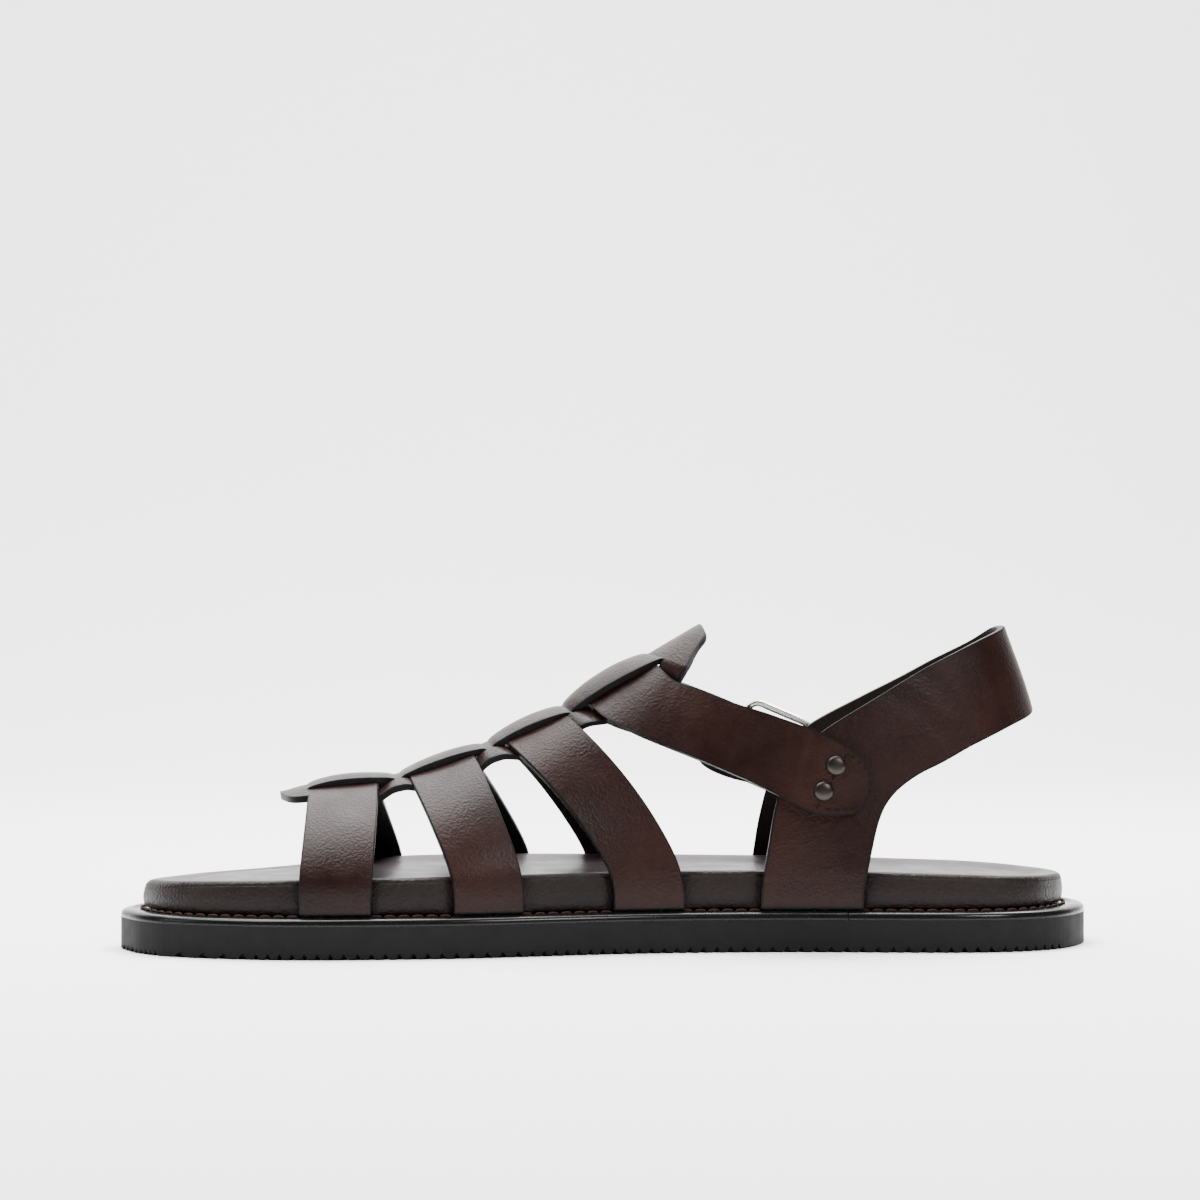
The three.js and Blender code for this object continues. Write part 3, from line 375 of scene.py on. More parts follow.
def sheet(name, outer, inner, materials, keep=None):
    """A leather sheet between two grids of points, with painted side walls."""
    rows, columns = outer.shape[:2]
    keep = np.ones((rows - 1, columns - 1), bool) if keep is None else keep
    count = rows * columns
    verts = np.concatenate([outer.reshape(-1, 3), inner.reshape(-1, 3)])
    faces, marks = [], []

    def at(row, column, under):
        return row * columns + column + (count if under else 0)

    def kept(row, column):
        return 0 <= row < rows - 1 and 0 <= column < columns - 1 and keep[row, column]

    for row in range(rows - 1):
        for column in range(columns - 1):
            if not keep[row, column]:
                continue
            corners = [(row, column), (row, column + 1), (row + 1, column + 1), (row + 1, column)]
            faces.append(tuple(at(a, b, False) for a, b in corners))
            faces.append(tuple(at(a, b, True) for a, b in reversed(corners)))
            neighbours = [(row - 1, column), (row, column + 1), (row + 1, column), (row, column - 1)]
            rim = not all(kept(*neighbour) for neighbour in neighbours)
            marks += [EDGE if rim else FACE, UNDERSIDE]
            for k, neighbour in enumerate(neighbours):
                if kept(*neighbour):
                    continue
                a, b = corners[k], corners[(k + 1) % 4]
                faces.append((at(*b, False), at(*a, False), at(*a, True), at(*b, True)))
                marks.append(EDGE)
    used = sorted({corner for each in faces for corner in each})
    order = {old: new for new, old in enumerate(used)}
    faces = [tuple(order[corner] for corner in each) for each in faces]
    return mesh_object(name, verts[used], turned_out(verts[used], faces), marks, materials)


def loft(rings, marks_of=None, closed=False, caps=True):
    """Quads between rings of equal length; the ends are capped when the loft is open."""
    rings = np.asarray(rings)
    levels, length = rings.shape[:2]
    verts = rings.reshape(-1, 3)
    faces, marks = [], []
    for level in range(levels if closed else levels - 1):
        above = (level + 1) % levels
        for k in range(length):
            following = (k + 1) % length
            faces.append((level * length + k, level * length + following,
                          above * length + following, above * length + k))
            marks.append(marks_of[level] if marks_of is not None else 0)
    if caps and not closed:
        faces.append(tuple(reversed(range(length))))
        faces.append(tuple((levels - 1) * length + k for k in range(length)))
        marks += [marks[0], marks[-1]]
    return verts, turned_out(verts, faces), marks


def tube(points, radius, sides=8):
    """A capped round thread or wire along points; radius may be one number or one for each point."""
    points = np.asarray(points, float)
    radius = np.broadcast_to(np.asarray(radius, float), (len(points),))
    run = np.gradient(points, axis=0)
    run /= np.linalg.norm(run, axis=1)[:, None]
    across = np.cross(run[0], [0, 0, 1.0])
    if np.linalg.norm(across) < 1e-3:
        across = np.cross(run[0], [0, 1.0, 0])
    rings = []
    for point, way, size in zip(points, run, radius):
        across = across - way * np.dot(across, way)
        across /= np.linalg.norm(across)
        up = np.cross(way, across)
        turns = np.linspace(0, 2 * math.pi, sides, endpoint=False)
        rings.append([point + size * (math.cos(t) * across + math.sin(t) * up) for t in turns])
    return loft(rings)


def joined(name, parts, materials):
    """One object out of several (verts, faces, marks) parts."""
    verts, faces, marks, base = [], [], [], 0
    for part_verts, part_faces, part_marks in parts:
        verts.append(np.asarray(part_verts))
        faces += [tuple(corner + base for corner in face) for face in part_faces]
        marks += list(part_marks)
        base += len(part_verts)
    return mesh_object(name, np.concatenate(verts), faces, marks, materials)


# Materials


def fill(node, values):
    for name, value in values.items():
        node.inputs[name].default_value = value


def shader(name, color, roughness, metallic=0.0):
    material = bpy.data.materials.new(name)
    material.use_nodes = True
    tree = material.node_tree
    body = tree.nodes["Principled BSDF"]
    fill(body, {"Base Color": (*color, 1), "Roughness": roughness, "Metallic": metallic,
                "Specular IOR Level": 0.11 if metallic == 0 else 0.5})
    where = tree.nodes.new("ShaderNodeTexCoord")
    return material, tree, body, where.outputs["Object"]


def noise(tree, where, scale, detail=3.0, roughness=0.5):
    node = tree.nodes.new("ShaderNodeTexNoise")
    fill(node, {"Scale": scale, "Detail": detail, "Roughness": roughness})
    tree.links.new(where, node.inputs["Vector"])
    return node.outputs["Fac"]


def cells(tree, where, scale):
    node = tree.nodes.new("ShaderNodeTexVoronoi")
    node.feature = "SMOOTH_F1"
    fill(node, {"Scale": scale, "Smoothness": 0.6})
    tree.links.new(where, node.inputs["Vector"])
    return node.outputs["Distance"]


def spread(tree, source, low, high, to_low=0.0, to_high=1.0):
    node = tree.nodes.new("ShaderNodeMapRange")
    fill(node, {"From Min": low, "From Max": high, "To Min": to_low, "To Max": to_high})
    tree.links.new(source, node.inputs["Value"])
    return node.outputs["Result"]


def tinted(tree, body, source, dark, light):
    node = tree.nodes.new("ShaderNodeMix")
    node.data_type = "RGBA"
    fill(node, {"A": (*dark, 1), "B": (*light, 1)})
    tree.links.new(source, node.inputs["Factor"])
    tree.links.new(node.outputs["Result"], body.inputs["Base Color"])


def relief(tree, body, layers):
    """Bumps on one another: each layer is a height source, its depth in mm and its strength."""
    below = None
    for source, depth, strength in layers:
        node = tree.nodes.new("ShaderNodeBump")
        fill(node, {"Distance": depth * MM, "Strength": strength})
        tree.links.new(source, node.inputs["Height"])
        if below is not None:
            tree.links.new(below, node.inputs["Normal"])
        below = node.outputs["Normal"]
    tree.links.new(below, body.inputs["Normal"])


def leather_shader(name, dark, light, rough, grain=0.05, coat=0.25):
    material, tree, body, where = shader(name, light, rough)
    tinted(tree, body, spread(tree, noise(tree, where, 30, 5), 0.3, 0.7), dark, light)
    gloss = spread(tree, noise(tree, where, 120, 3), 0.3, 0.7, rough - 0.05, rough + 0.07)
    tree.links.new(gloss, body.inputs["Roughness"])
    fill(body, {"Coat Weight": coat, "Coat Roughness": 0.32})
    relief(tree, body, [
        (cells(tree, where, 1250), grain * 1.5, 0.85),
        (noise(tree, where, 2400, 2), grain * 1.3, 0.6),
        (noise(tree, where, 150, 3), grain * 0.6, 0.3),
    ])
    return material


def plain_shader(name, color, rough, metallic=0.0, depth=0.02, scale=900, coat=0.0):
    material, tree, body, where = shader(name, color, rough, metallic)
    fill(body, {"Coat Weight": coat, "Coat Roughness": 0.2})
    gloss = spread(tree, noise(tree, where, 200, 3), 0.3, 0.7, rough - 0.04, rough + 0.06)
    tree.links.new(gloss, body.inputs["Roughness"])
    relief(tree, body, [(noise(tree, where, scale, 3), depth, 0.5)])
    return material


STRAP = leather_shader("strap leather", (0.0055, 0.0017, 0.0013), (0.0145, 0.0037, 0.0024), 0.38, 0.1, 0.05)
LINING = leather_shader("lining", (0.0065, 0.0036, 0.0032), (0.0095, 0.005, 0.0044), 0.55, 0.08, 0.0)
PAINT = plain_shader("edge paint", (0.0035, 0.0028, 0.0028), 0.45)
BED_SIDE = leather_shader(
    "footbed side leather", (0.0065, 0.004, 0.0036), (0.0105, 0.0062, 0.0055), 0.42, 0.16, 0.05)
BED_TOP = leather_shader(
    "footbed top leather", (0.024, 0.0165, 0.0185), (0.036, 0.026, 0.029), 0.38, 0.04, 0.1)
WELT_SHINE = plain_shader("welt leather", (0.003, 0.0027, 0.0027), 0.25, coat=0.25, depth=0.05, scale=420)
THREAD = plain_shader("brown thread", (0.035, 0.0155, 0.010), 0.6, depth=0.05, scale=4000)
DARK_THREAD = plain_shader("dark thread", (0.0035, 0.0022, 0.002), 0.7, depth=0.05, scale=4000)
RUBBER = plain_shader("charcoal rubber", (0.0055, 0.0055, 0.0058), 0.62, depth=0.03, scale=1500)
GUNMETAL = plain_shader("gunmetal", (0.036, 0.031, 0.028), 0.34, 1.0, depth=0.008, scale=700)
NICKEL = plain_shader("nickel", (0.62, 0.59, 0.54), 0.24, 1.0, depth=0.006, scale=700)


# Sole: outsole, welt and footbed


def section_rings(section, count):
    """A section's (inset, height) points round the outline; either may depend on the place along."""
    loop = outline_points(4 * count)
    spots, inwards = loop[::4], inward_normals(loop)[::4]
    x = spots[:, 0]
    rings = []
    for inset, height in section:
        away = inset(x) if callable(inset) else np.full(count, float(inset))
        z = height(share_of(x)) if callable(height) else np.full(count, float(height))
        rings.append(np.column_stack([spots + inwards * away[:, None], z]))
    return np.array(rings)


def cut(target, tool):
    """The target's mesh, cut by the tool, which is then removed."""
    step = target.modifiers.new("cut", "BOOLEAN")
    step.operation = "DIFFERENCE"
    step.object = tool
    step.solver = "EXACT"
    step.use_self = False
    shape = bpy.data.meshes.new_from_object(target.evaluated_get(bpy.context.evaluated_depsgraph_get()))
    target.modifiers.clear()
    target.data = shape
    bpy.data.objects.remove(tool)
    return target


SOLE_ROUND = 0.35
# A groove's V: (along the sole, height), starting below the sole
GROOVE = ((-1.95, -0.9), (1.95, -0.9), (0, 1.9))
HEEL_MARGIN = 14.0
# The plain ovals in the tread: (share along, share across), and their half length and half width
OVALS = ((0.29, 0.01), (0.87, -0.1))
OVAL_SIZE = (15.0, 8.5)
# Notches round the toe: their number on each side, their pitch and their height
NOTCHES = 11
NOTCH_PITCH = 2.465
NOTCH_HEIGHT = 1.7
# A notch's ends: (inwards from the sole's edge, half width)
NOTCH_ENDS = ((-1.5, 1.25), (2.2, 0.9))


def toe_notches():
    """V notches round the toe, where the tread's grooves run along the edge."""
    loop = outline_points(2400)
    inwards = inward_normals(loop)
    step = np.linalg.norm(loop[1] - loop[0])
    start = int(np.argmin(loop[:, 0]))
    parts = []
    for k in range(-NOTCHES, NOTCHES + 1):
        at = (start + round(k * NOTCH_PITCH / step)) % len(loop)
        spot, way = loop[at], inwards[at]
        across = np.array([-way[1], way[0]])
        rings = []
        for reach, half in NOTCH_ENDS:
            middle = spot + way * reach
            near, far = middle - across * half, middle + across * half
            rings.append([(*near, -0.5), (*far, -0.5), (*middle, NOTCH_HEIGHT)])
        parts.append(loft(rings))
    return joined("toe notches", parts, [])


def tread_grooves():
    """The herringbone's grooves, as cutting bodies across the whole sole."""
    arms = math.ceil(SOLE_WIDTH / TREAD_ARM) + 1
    lean = GROOVE_LEAN * TREAD_ARM
    first = -math.ceil(lean / GROOVE_PITCH / 2)
    last = math.floor((SOLE_LENGTH - HEEL_MARGIN) / GROOVE_PITCH)
    parts = []
    for k in range(first, last):
        x = place(0) + (k + 1) * GROOVE_PITCH
        rings = []
        for arm in range(arms + 1):
            crossing = arm - arms / 2
            side = 1 if round(crossing * 2) % 4 == 0 else -1
            middle, y = x + side * lean / 2, crossing * TREAD_ARM
            rings.append([(middle + dx, y, dz) for dx, dz in GROOVE])
        parts.append(loft(rings))
    return joined("grooves", parts, [])


def plain_ovals():
    """The ovals that the tread leaves plain."""
    turns = np.linspace(0, 2 * math.pi, 72, endpoint=False)
    parts = []
    for along, across in OVALS:
        x = place(along) + OVAL_SIZE[0] * np.cos(turns)
        y = across * SOLE_WIDTH + OVAL_SIZE[1] * np.sin(turns)
        parts.append(loft([np.column_stack([x, y, np.full(72, z)]) for z in (-2.5, 2.5)]))
    return joined("ovals", parts, [])


def make_outsole():
    slab = section_rings([(SOLE_ROUND, 0), (0, SOLE_ROUND), (0, OUTSOLE_TOP)], 320)
    piece = mesh_object("sole_rubber", *loft(slab), [])
    cut(piece, cut(tread_grooves(), plain_ovals()))
    cut(piece, toe_notches())
    piece.data.materials.clear()
    piece.data.materials.append(RUBBER)
    piece.data.polygons.foreach_set("use_smooth", np.zeros(len(piece.data.polygons), dtype=bool))
    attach(piece, BODY)
    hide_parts("outsole")


# The welt's butt joint: its place along the inner side, its lean and half its gap
WELT_JOINT = 0.735
JOINT_LEAN = 0.3 * math.tan(0.6)
JOINT_HALF_GAP = 0.14


def make_welt():
    foot, top = WELT_FOOT, WELT_TOP
    section = [
        (0.6, OUTSOLE_TOP + 0.02), (0.0, OUTSOLE_TOP + 0.02), (0.0, foot + 0.75), (0.3, top - 0.85),
        (0.9, top - 0.38), (1.8, top - 0.1), (3.0, top),
        (SIDE_LEDGE - 1.5, top), (SIDE_LEDGE - 1.1, top - 0.35), (WELT_WIDTH, top),
        (WELT_WIDTH, OUTSOLE_TOP + 0.02),
    ]
    rings = section_rings(section, 480)
    x, y = rings[0][:, 0], rings[0][:, 1]
    start = int(np.argmin(np.where(y > 0, math.inf, np.abs(x - place(WELT_JOINT)))))
    sections = np.roll(rings, -start, axis=1).transpose(1, 0, 2)
    strip = np.concatenate([sections, sections[:1]])
    away = (sections[0][:, 1] - sections[0][:, 1].min()) * JOINT_LEAN
    strip[0][:, 0] += JOINT_HALF_GAP - away
    strip[-1][:, 0] -= JOINT_HALF_GAP + away
    piece = mesh_object("welt_strip", *loft(strip), [WELT_SHINE])
    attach(piece, BODY)
    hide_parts("welt")
    bevel(piece, 0.15, 2, 50)


# The straps' feet: (front, rear, side)
FEET = [(*strap[0], -1) for strap in STRAPS.values()] + [(*strap[2], 1) for strap in STRAPS.values()]
FEET += [(INNER_QUARTER[0][0], INNER_QUARTER[0][2], -1), (OUTER_QUARTER[0][0], OUTER_QUARTER[0][2], 1)]
PINCH_DEPTH = 1.1
PINCH_REACH = 2.4
# How round the footbed's rim is, at its sides and at the toe, and how far its sides bulge
RIM_ROUND = 1.9
TOE_ROUND = 3.3
SIDE_BULGE = 0.35
SEAM_DEPTH = 0.28
# The footbed's dish: (inwards from the rounded rim, down)
RIM_SLOPE = ((1.5, 0.12), (3.5, 0.5), (5.5, 0.95), (8, 1.35))
# How much lower the outer rim is at the toe, and where this fades in, along and across
TOE_DROP = 2.0
DROP_ALONG = (-0.32, -0.12)
DROP_ASIDE = (-25, 25)
# How far the footbed's spine ends behind its toe and before its heel
SPINE_ENDS = (24, 20)


def pinch(x, y):
    """How much the footbed's side is drawn in beside the straps' feet, from 0 to 1."""
    along = share_of(x)
    drawn = np.zeros_like(along)
    for front, rear, side in FEET:
        away = np.clip(np.maximum(front - along, along - rear) * SOLE_LENGTH, 0, None)
        beside = np.sign(y - MIDDLE_LINE) == side
        drawn = np.maximum(drawn, np.where(beside, np.exp(-away / PINCH_REACH), 0))
    return drawn


def rim_round(along):
    return mix(RIM_ROUND, TOE_ROUND, smoothstep(0.1 - along, 0, 0.1))


def rim_edge(share, dip, inwards=0.0):
    """A ring on the rounded rim: shares of its roundness inwards and down, and a dent."""
    return (lambda x: ledge(x) + share * rim_round(share_of(x)) + inwards,
            lambda along: rim_height(along) - dip * rim_round(along))


def footbed_section():
    """The footbed's rings from its foot to its dish, and the number of its rounded rim's first ring."""
    foot = FOOTBED_FOOT
    section = [
        (WELT_WIDTH + 0.3, WELT_FOOT + 0.4), (WELT_WIDTH, foot),
        (lambda x: ledge(x) + 0.6, foot), (lambda x: ledge(x) + 0.1, foot + 0.6)]
    for t in np.linspace(0.15, 0.85, 7):
        section.append((
            lambda x, t=t: ledge(x) - SIDE_BULGE * math.sin(math.pi * t),
            lambda along, t=t: mix(foot + 0.6, rim_height(along) - rim_round(along), t)))
    section.append(rim_edge(0, 1))
    rim_start = len(section)
    for turn in np.radians(np.linspace(12, 90, 8)):
        section.append(rim_edge(1 - math.cos(turn), 1 - math.sin(turn)))
    section.insert(rim_start + 1, rim_edge(0.025, 0.80, SEAM_DEPTH))
    for inset, dip in RIM_SLOPE:
        section.append((
            lambda x, i=inset: ledge(x) + rim_round(share_of(x)) + i,
            lambda along, d=dip: rim_height(along) - d))
    return section, rim_start


def footbed_top(rim):
    """Rings from the rim inwards onto a spine along the middle, in the dish."""
    spine_x = np.clip(
        rim[:, 0], rim[:, 0].min() + SPINE_ENDS[0], rim[:, 0].max() - SPINE_ENDS[1])
    spine_y = (wall_place(spine_x, -1) + wall_place(spine_x, 1)) / 2
    spine = np.column_stack([spine_x, spine_y, rim_height(share_of(spine_x)) - DISH])
    top = np.array([mix(rim, spine, t) for t in (0.12, 0.3, 0.5, 0.75, 1.0)])
    top[:, :, 2] = rim_height(share_of(top[:, :, 0])) - DISH
    return top


def make_footbed():
    section, rim_start = footbed_section()
    rings = section_rings(section, 420)
    x, y = rings[:, :, 0], rings[:, :, 1]
    drawn = PINCH_DEPTH * pinch(x, y)
    inwards = inward_normals(outline_points(420))
    for level in range(3, rim_start + 4):
        rings[level][:, :2] += inwards * drawn[level][:, None]
    drop = TOE_DROP * smoothstep(-share_of(x), *DROP_ALONG) * smoothstep(y, *DROP_ASIDE)
    rings[:, :, 2] -= drop * np.clip((rings[:, :, 2] - FOOTBED_FOOT) / FOOTBED_HEIGHT, 0, 1)
    top = footbed_top(rings[-1])
    marks = [0 if level < rim_start + 6 else 1 for level in range(len(rings) + len(top))]
    verts, faces, marks = loft(np.concatenate([rings, top]), marks, caps=False)
    piece = mesh_object("footbed_cover", verts, faces, marks, [BED_SIDE, BED_TOP])
    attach(piece, BODY)
    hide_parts("footbed")


make_outsole()
make_welt()
make_footbed()


# Straps


def refined(rows, count, path=None):
    """Rows of points read smoothly along their run; returns the rows and the run's values."""
    rows = np.asarray(rows)
    if path is None:
        path = run_of(rows[:, rows.shape[1] // 2])
    at = np.linspace(path[0], path[-1], count)
    table = np.column_stack([path, rows.reshape(len(rows), -1)])
    columns = [read(table, at, k) for k in range(1, table.shape[1])]
    return np.stack(columns, axis=1).reshape(count, *rows.shape[1:]), path


# How far a strap's foot is tucked in under the footbed's edge
TUCK = 0.5


def foot_rows(top, side):
    """A strap's rows down the footbed's wall, for its outer and its inner face."""
    x = top[:, 0]
    wall = wall_place(x, side)

    def row(away, z):
        return np.column_stack([x, wall + side * away, np.broadcast_to(z, x.shape)])

    low, high = FOOTBED_FOOT, top[:, 2]
    outer, inner = [], []
    for t in np.arange(0, 1, 0.1):
        tuck = TUCK * (1 - t) ** 3
        outer.append(row(WALL_GAP + LEATHER - tuck, mix(low, high, t)))
        inner.append(row(WALL_GAP, mix(low, high, t)))
    return outer, inner


def with_feet(outer, inner):
    """Both grids with a foot added at each end of the strap."""
    first_outer, first_inner = foot_rows(inner[0], -1)
    last_outer, last_inner = foot_rows(inner[-1], 1)
    return (np.array(first_outer + list(outer) + last_outer[::-1]),
            np.array(first_inner + list(inner) + last_inner[::-1]))


# How far a strap's bends are softened, along each axis
EASE = (5.0, 1.4, 0.9)


def eased(outer, inner):
    """Both grids with the bends along each column's run softened, the ends held in place."""
    run = run_of(outer.mean(axis=1))
    weight = np.gradient(run)
    room = np.minimum(run, run[-1] - run)
    results = []
    for grid in (outer, inner):
        grid = grid.copy()
        for axis, most in enumerate(EASE):
            reach = np.clip(np.minimum(most, room * 0.6), 0.01, None)[:, None]
            kernel = np.exp(-((run[None, :] - run[:, None]) / reach) ** 2 / 2) * weight[None, :]
            kernel /= kernel.sum(axis=1)[:, None]
            grid[:, :, axis] = kernel @ grid[:, :, axis]
        results.append(grid)
    return results


def strap_piece(name, node, outer, inner, keep=None, width=0.55):
    piece = sheet(name, outer, inner, [STRAP, PAINT, LINING], keep)
    bevel(piece, width, 3, 50).modifiers["round edges"].material = EDGE
    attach(piece, BODY)
    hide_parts(node)


# Shares across a strap, closer beside its edges, where the edge paint runs onto the face
ACROSS = np.array([0, 0.026, 0.09, 0.2, 0.32, 0.44, 0.56, 0.68, 0.8, 0.91, 0.974, 1])
ACROSS_WIDE = np.array([0, 0.024, 0.12, 0.3, 0.5, 0.7, 0.88, 0.976, 1])


def cross_strap(name, strap):
    (inner_front, inner_rear), (crest_front, crest_rear), (outer_front, outer_rear) = strap
    turns = np.linspace(-math.pi / 2, math.pi / 2, 97)[:, None]
    across = ACROSS[None, :]
    lift = lift_of(place((crest_front + crest_rear) / 2), turns)
    front = np.where(turns < 0, inner_front, outer_front)
    rear = np.where(turns < 0, inner_rear, outer_rear)
    x = place(mix(mix(front, rear, across), mix(crest_front, crest_rear, across), lift))
    outer, inner = eased(*with_feet(on_last(x, turns, LEATHER), on_last(x, turns, 0.0)))
    strap_piece(name, "upper", outer, inner)


def strip_point(share, aside, offset):
    x = place(share)
    side = np.where(aside < 0, -1.0, 1.0)
    half = np.abs(wall_place(x, side) - RIDGE) + WALL_GAP
    turn = np.arcsin(np.clip(aside / half, -1, 1))
    lean = np.where(side < 0, read(LEANS, share, 1), read(LEANS, share, 2)) * SOLE_LENGTH
    return on_last(x + lean * (1 - lift_of(x, turn)), turn, offset)


# How far the centre strip's outer face stands above the cross straps'
STRIP_PROUD = 0.15
BAND_CROWN = 0.35
# How much the strip's margins pass under a cross strap, and how the bands lie on it or on the ankle strap
MARGIN_GAP = 0.3
BAND_SINK = -0.35
ANKLE_ROOM = 1.3 * CLEARANCE
# The front end: its length as a share of the strip's width, and its narrowest half width as a share
FRONT_ROUND = 0.32
FRONT_TIP = 0.16
# The rear tongue's half width as a share of the strip's, by the distance from its tip
TONGUE = np.array([
    (0, 0.14), (0.4, 0.32), (1.2, 0.46), (2.5, 0.55), (6, 0.64), (10, 0.74), (15, 0.86), (20, 0.95),
    (26, 1.0), (400, 1.0)])
# The band's half width and the slit's width as shares of the strip's half width
BAND = BAND_WIDTH / STRIP_WIDTH
SLIT = 2 * SLIT_WIDTH / STRIP_WIDTH


def strip_shares():
    """Where the strip's rows lie, closer at its ends and exactly at each slit's ends."""
    ends = np.array([0.0006, 0.0015])
    runs = [np.linspace(STRIP_FRONT, STRIP_REAR, 125), STRIP_FRONT + ends, STRIP_REAR - ends]
    runs += [np.linspace(front, rear, 31) for front, rear in SLITS]
    shares = np.unique(np.round(np.concatenate(runs), 6))
    gaps = np.diff(shares, prepend=0)
    fixed = {round(value, 6) for pair in SLITS for value in pair}
    return np.array([share for share, gap in zip(shares, gaps) if gap > 0.0009 or share in fixed])


def strip_asides():
    """Where the strip's columns lie, as shares of its half width."""
    side = [*np.linspace(BAND + SLIT + 0.04, 0.9, 3), 0.96, 1]
    middle = np.linspace(0.04 - BAND, BAND - 0.04, 15)
    right = [BAND, BAND + SLIT, *side]
    return np.array([*(-value for value in reversed(right)), *middle, *right])


def strip_narrow(shares):
    """The strip's half width as a share, rounded at its front end and narrowing to its tongue."""
    ahead = np.minimum((shares - STRIP_FRONT) * SOLE_LENGTH / (STRIP_WIDTH * FRONT_ROUND), 1)
    front = np.maximum(np.sqrt(1 - (1 - ahead) ** 2), FRONT_TIP)
    return np.minimum(front, read(TONGUE, (STRIP_REAR - shares) * SOLE_LENGTH, 1))


def centre_strip():
    """The long strip: its bands rise over the straps between slits, and its margins pass under."""
    shares, asides = strip_shares(), strip_asides()
    bump, dip, room = np.zeros((3, len(shares)))
    slit_rows = np.zeros(len(shares), bool)
    for front, rear in SLITS:
        t = (shares - front) / (rear - front)
        within = (t > -1e-6) & (t < 1 - 1e-6)
        bump = np.where(within, np.sin(math.pi * np.clip(t, 0, 1)) ** 0.62, bump)
        dip = np.where(within, smoothstep(np.minimum(t, 1 - t), 0, 0.26), dip)
        room = np.where(within, ANKLE_ROOM if (front, rear) == SLITS[-1] else BAND_SINK, room)
        slit_rows |= within
    inside = np.abs(asides) < BAND + 1e-6
    crown = np.where(inside, BAND_CROWN * (1 - (asides / BAND) ** 2), 0)
    risen = (STRIP_LEATHER + room[:, None] + crown) * bump[:, None]
    sunk = -(LEATHER + MARGIN_GAP + np.maximum(room, 0)[:, None]) * dip[:, None]
    offset = LEATHER + STRIP_PROUD + np.where(inside, risen, sunk)
    share_grid = np.broadcast_to(shares[:, None], offset.shape)
    aside_grid = asides * strip_narrow(shares)[:, None] * STRIP_WIDTH / 2
    outer = strip_point(share_grid, aside_grid, offset)
    inner = strip_point(share_grid, aside_grid, offset - STRIP_LEATHER)
    slit_columns = np.isclose(np.diff(asides), SLIT)
    keep = ~(slit_rows[:-1, None] & slit_columns)
    strap_piece("centre_strip", "upper", outer, inner, keep, 0.5)


def quarter_point(share, z, side, offset):
    x = place(share)
    if share < HEEL_PLACE:
        return on_last(x, turn_of(x, z, side), offset)
    return heel_spot(heel_way(x, z), z, side, offset)


def heel_spot(way, z, side, offset):
    outwards = np.array([1.0 if way > 0.9 else 0.1, 0.0 if way > 0.99 else side, 0.0])
    return offset_point(lambda u, v: heel_point(u, v, side), way, z, offset, outwards)


def quarter_rows(table, side, offset):
    rows = []
    for front, front_height, rear, rear_height in table:
        heights = [mix(front_height, rear_height, t) * HEEL_STRAP_HEIGHT for t in ACROSS_WIDE]
        rows.append([quarter_point(mix(front, rear, t), height, side, offset)
                     for t, height in zip(ACROSS_WIDE, heights)])
    return rows


def back_rows(side, offset):
    return [[heel_spot(way, mix(top, low, t) * HEEL_STRAP_HEIGHT, side, offset)
             for t in ACROSS_WIDE] for way, top, low in HEEL_BACK]


# Soft troughs round the heel strap: the share of its run, its lean, its depth and its width as a share
HEEL_CREASES = (
    (0.285, 0.03, 0.25, 0.008), (0.325, 0.045, 0.3, 0.010), (0.375, 0.03, 0.2, 0.007),
    (0.63, -0.03, 0.25, 0.009), (0.69, -0.04, 0.2, 0.008),
)
# The outer underlay's inner face stands this much off the last
UNDERLAY_PROUD = 0.05


def heel_strap():
    grids = []
    for offset in (LEATHER, 0.0):
        inner = quarter_rows(INNER_QUARTER, -1, offset) + back_rows(-1, offset)
        outer = quarter_rows(OUTER_QUARTER, 1, offset) + back_rows(1, offset)[:1]
        grids.append(inner + outer[::-1])
    top, path = refined(grids[0], 190)
    under, path = refined(grids[1], 190, path)
    along = np.linspace(0, 1, len(top))[:, None]
    across = np.linspace(-0.5, 0.5, top.shape[1])[None, :]
    depth = np.zeros(top.shape[:2])
    for middle, lean, deep, width in HEEL_CREASES:
        depth += deep * np.exp(-((along - middle - lean * across) / width) ** 2)
    top = top - (top - under) / LEATHER * depth[:, :, None]
    strap_piece("heel_strap_leather", "heel_strap", *eased(*with_feet(top, under)))


def outer_underlay():
    """The tab under the ankle strap's end on the outer side."""
    top, path = refined(quarter_rows(UNDERLAY, 1, LEATHER), 36)
    under, path = refined(quarter_rows(UNDERLAY, 1, UNDERLAY_PROUD), 36, path)
    strap_piece("outer_underlay", "heel_strap", top, under)


# The ankle strap's rows: (number, place and turn of its upper edge, of its lower edge, lift off the last)
ROWS = np.array([[
    k, place(upper), turn_of(place(upper), upper_height * INSTEP_HEIGHT, side),
    place(lower), turn_of(place(lower), lower_height * INSTEP_HEIGHT, side), lift * (LEATHER + CLEARANCE)]
    for k, (side, upper, upper_height, lower, lower_height, lift) in enumerate(ANKLE_STRAP)])


def ankle_point(row, across, offset):
    x = mix(read(ROWS, row, 1), read(ROWS, row, 3), across)
    turn = mix(read(ROWS, row, 2), read(ROWS, row, 4), across)
    return on_last(x, turn, read(ROWS, row, 5) + offset)


# Soft troughs in the ankle strap: the row, its lean across the strap, its depth and its width in rows
TAB_CREASES = (
    (3.35, 0.5, 0.2, 0.10), (3.85, 0.4, 0.3, 0.16), (4.45, 0.6, 0.18, 0.12), (6.6, -0.5, 0.15, 0.18),
    (8.1, 0.3, 0.22, 0.16), (13.2, 0.3, 0.2, 0.14),
)


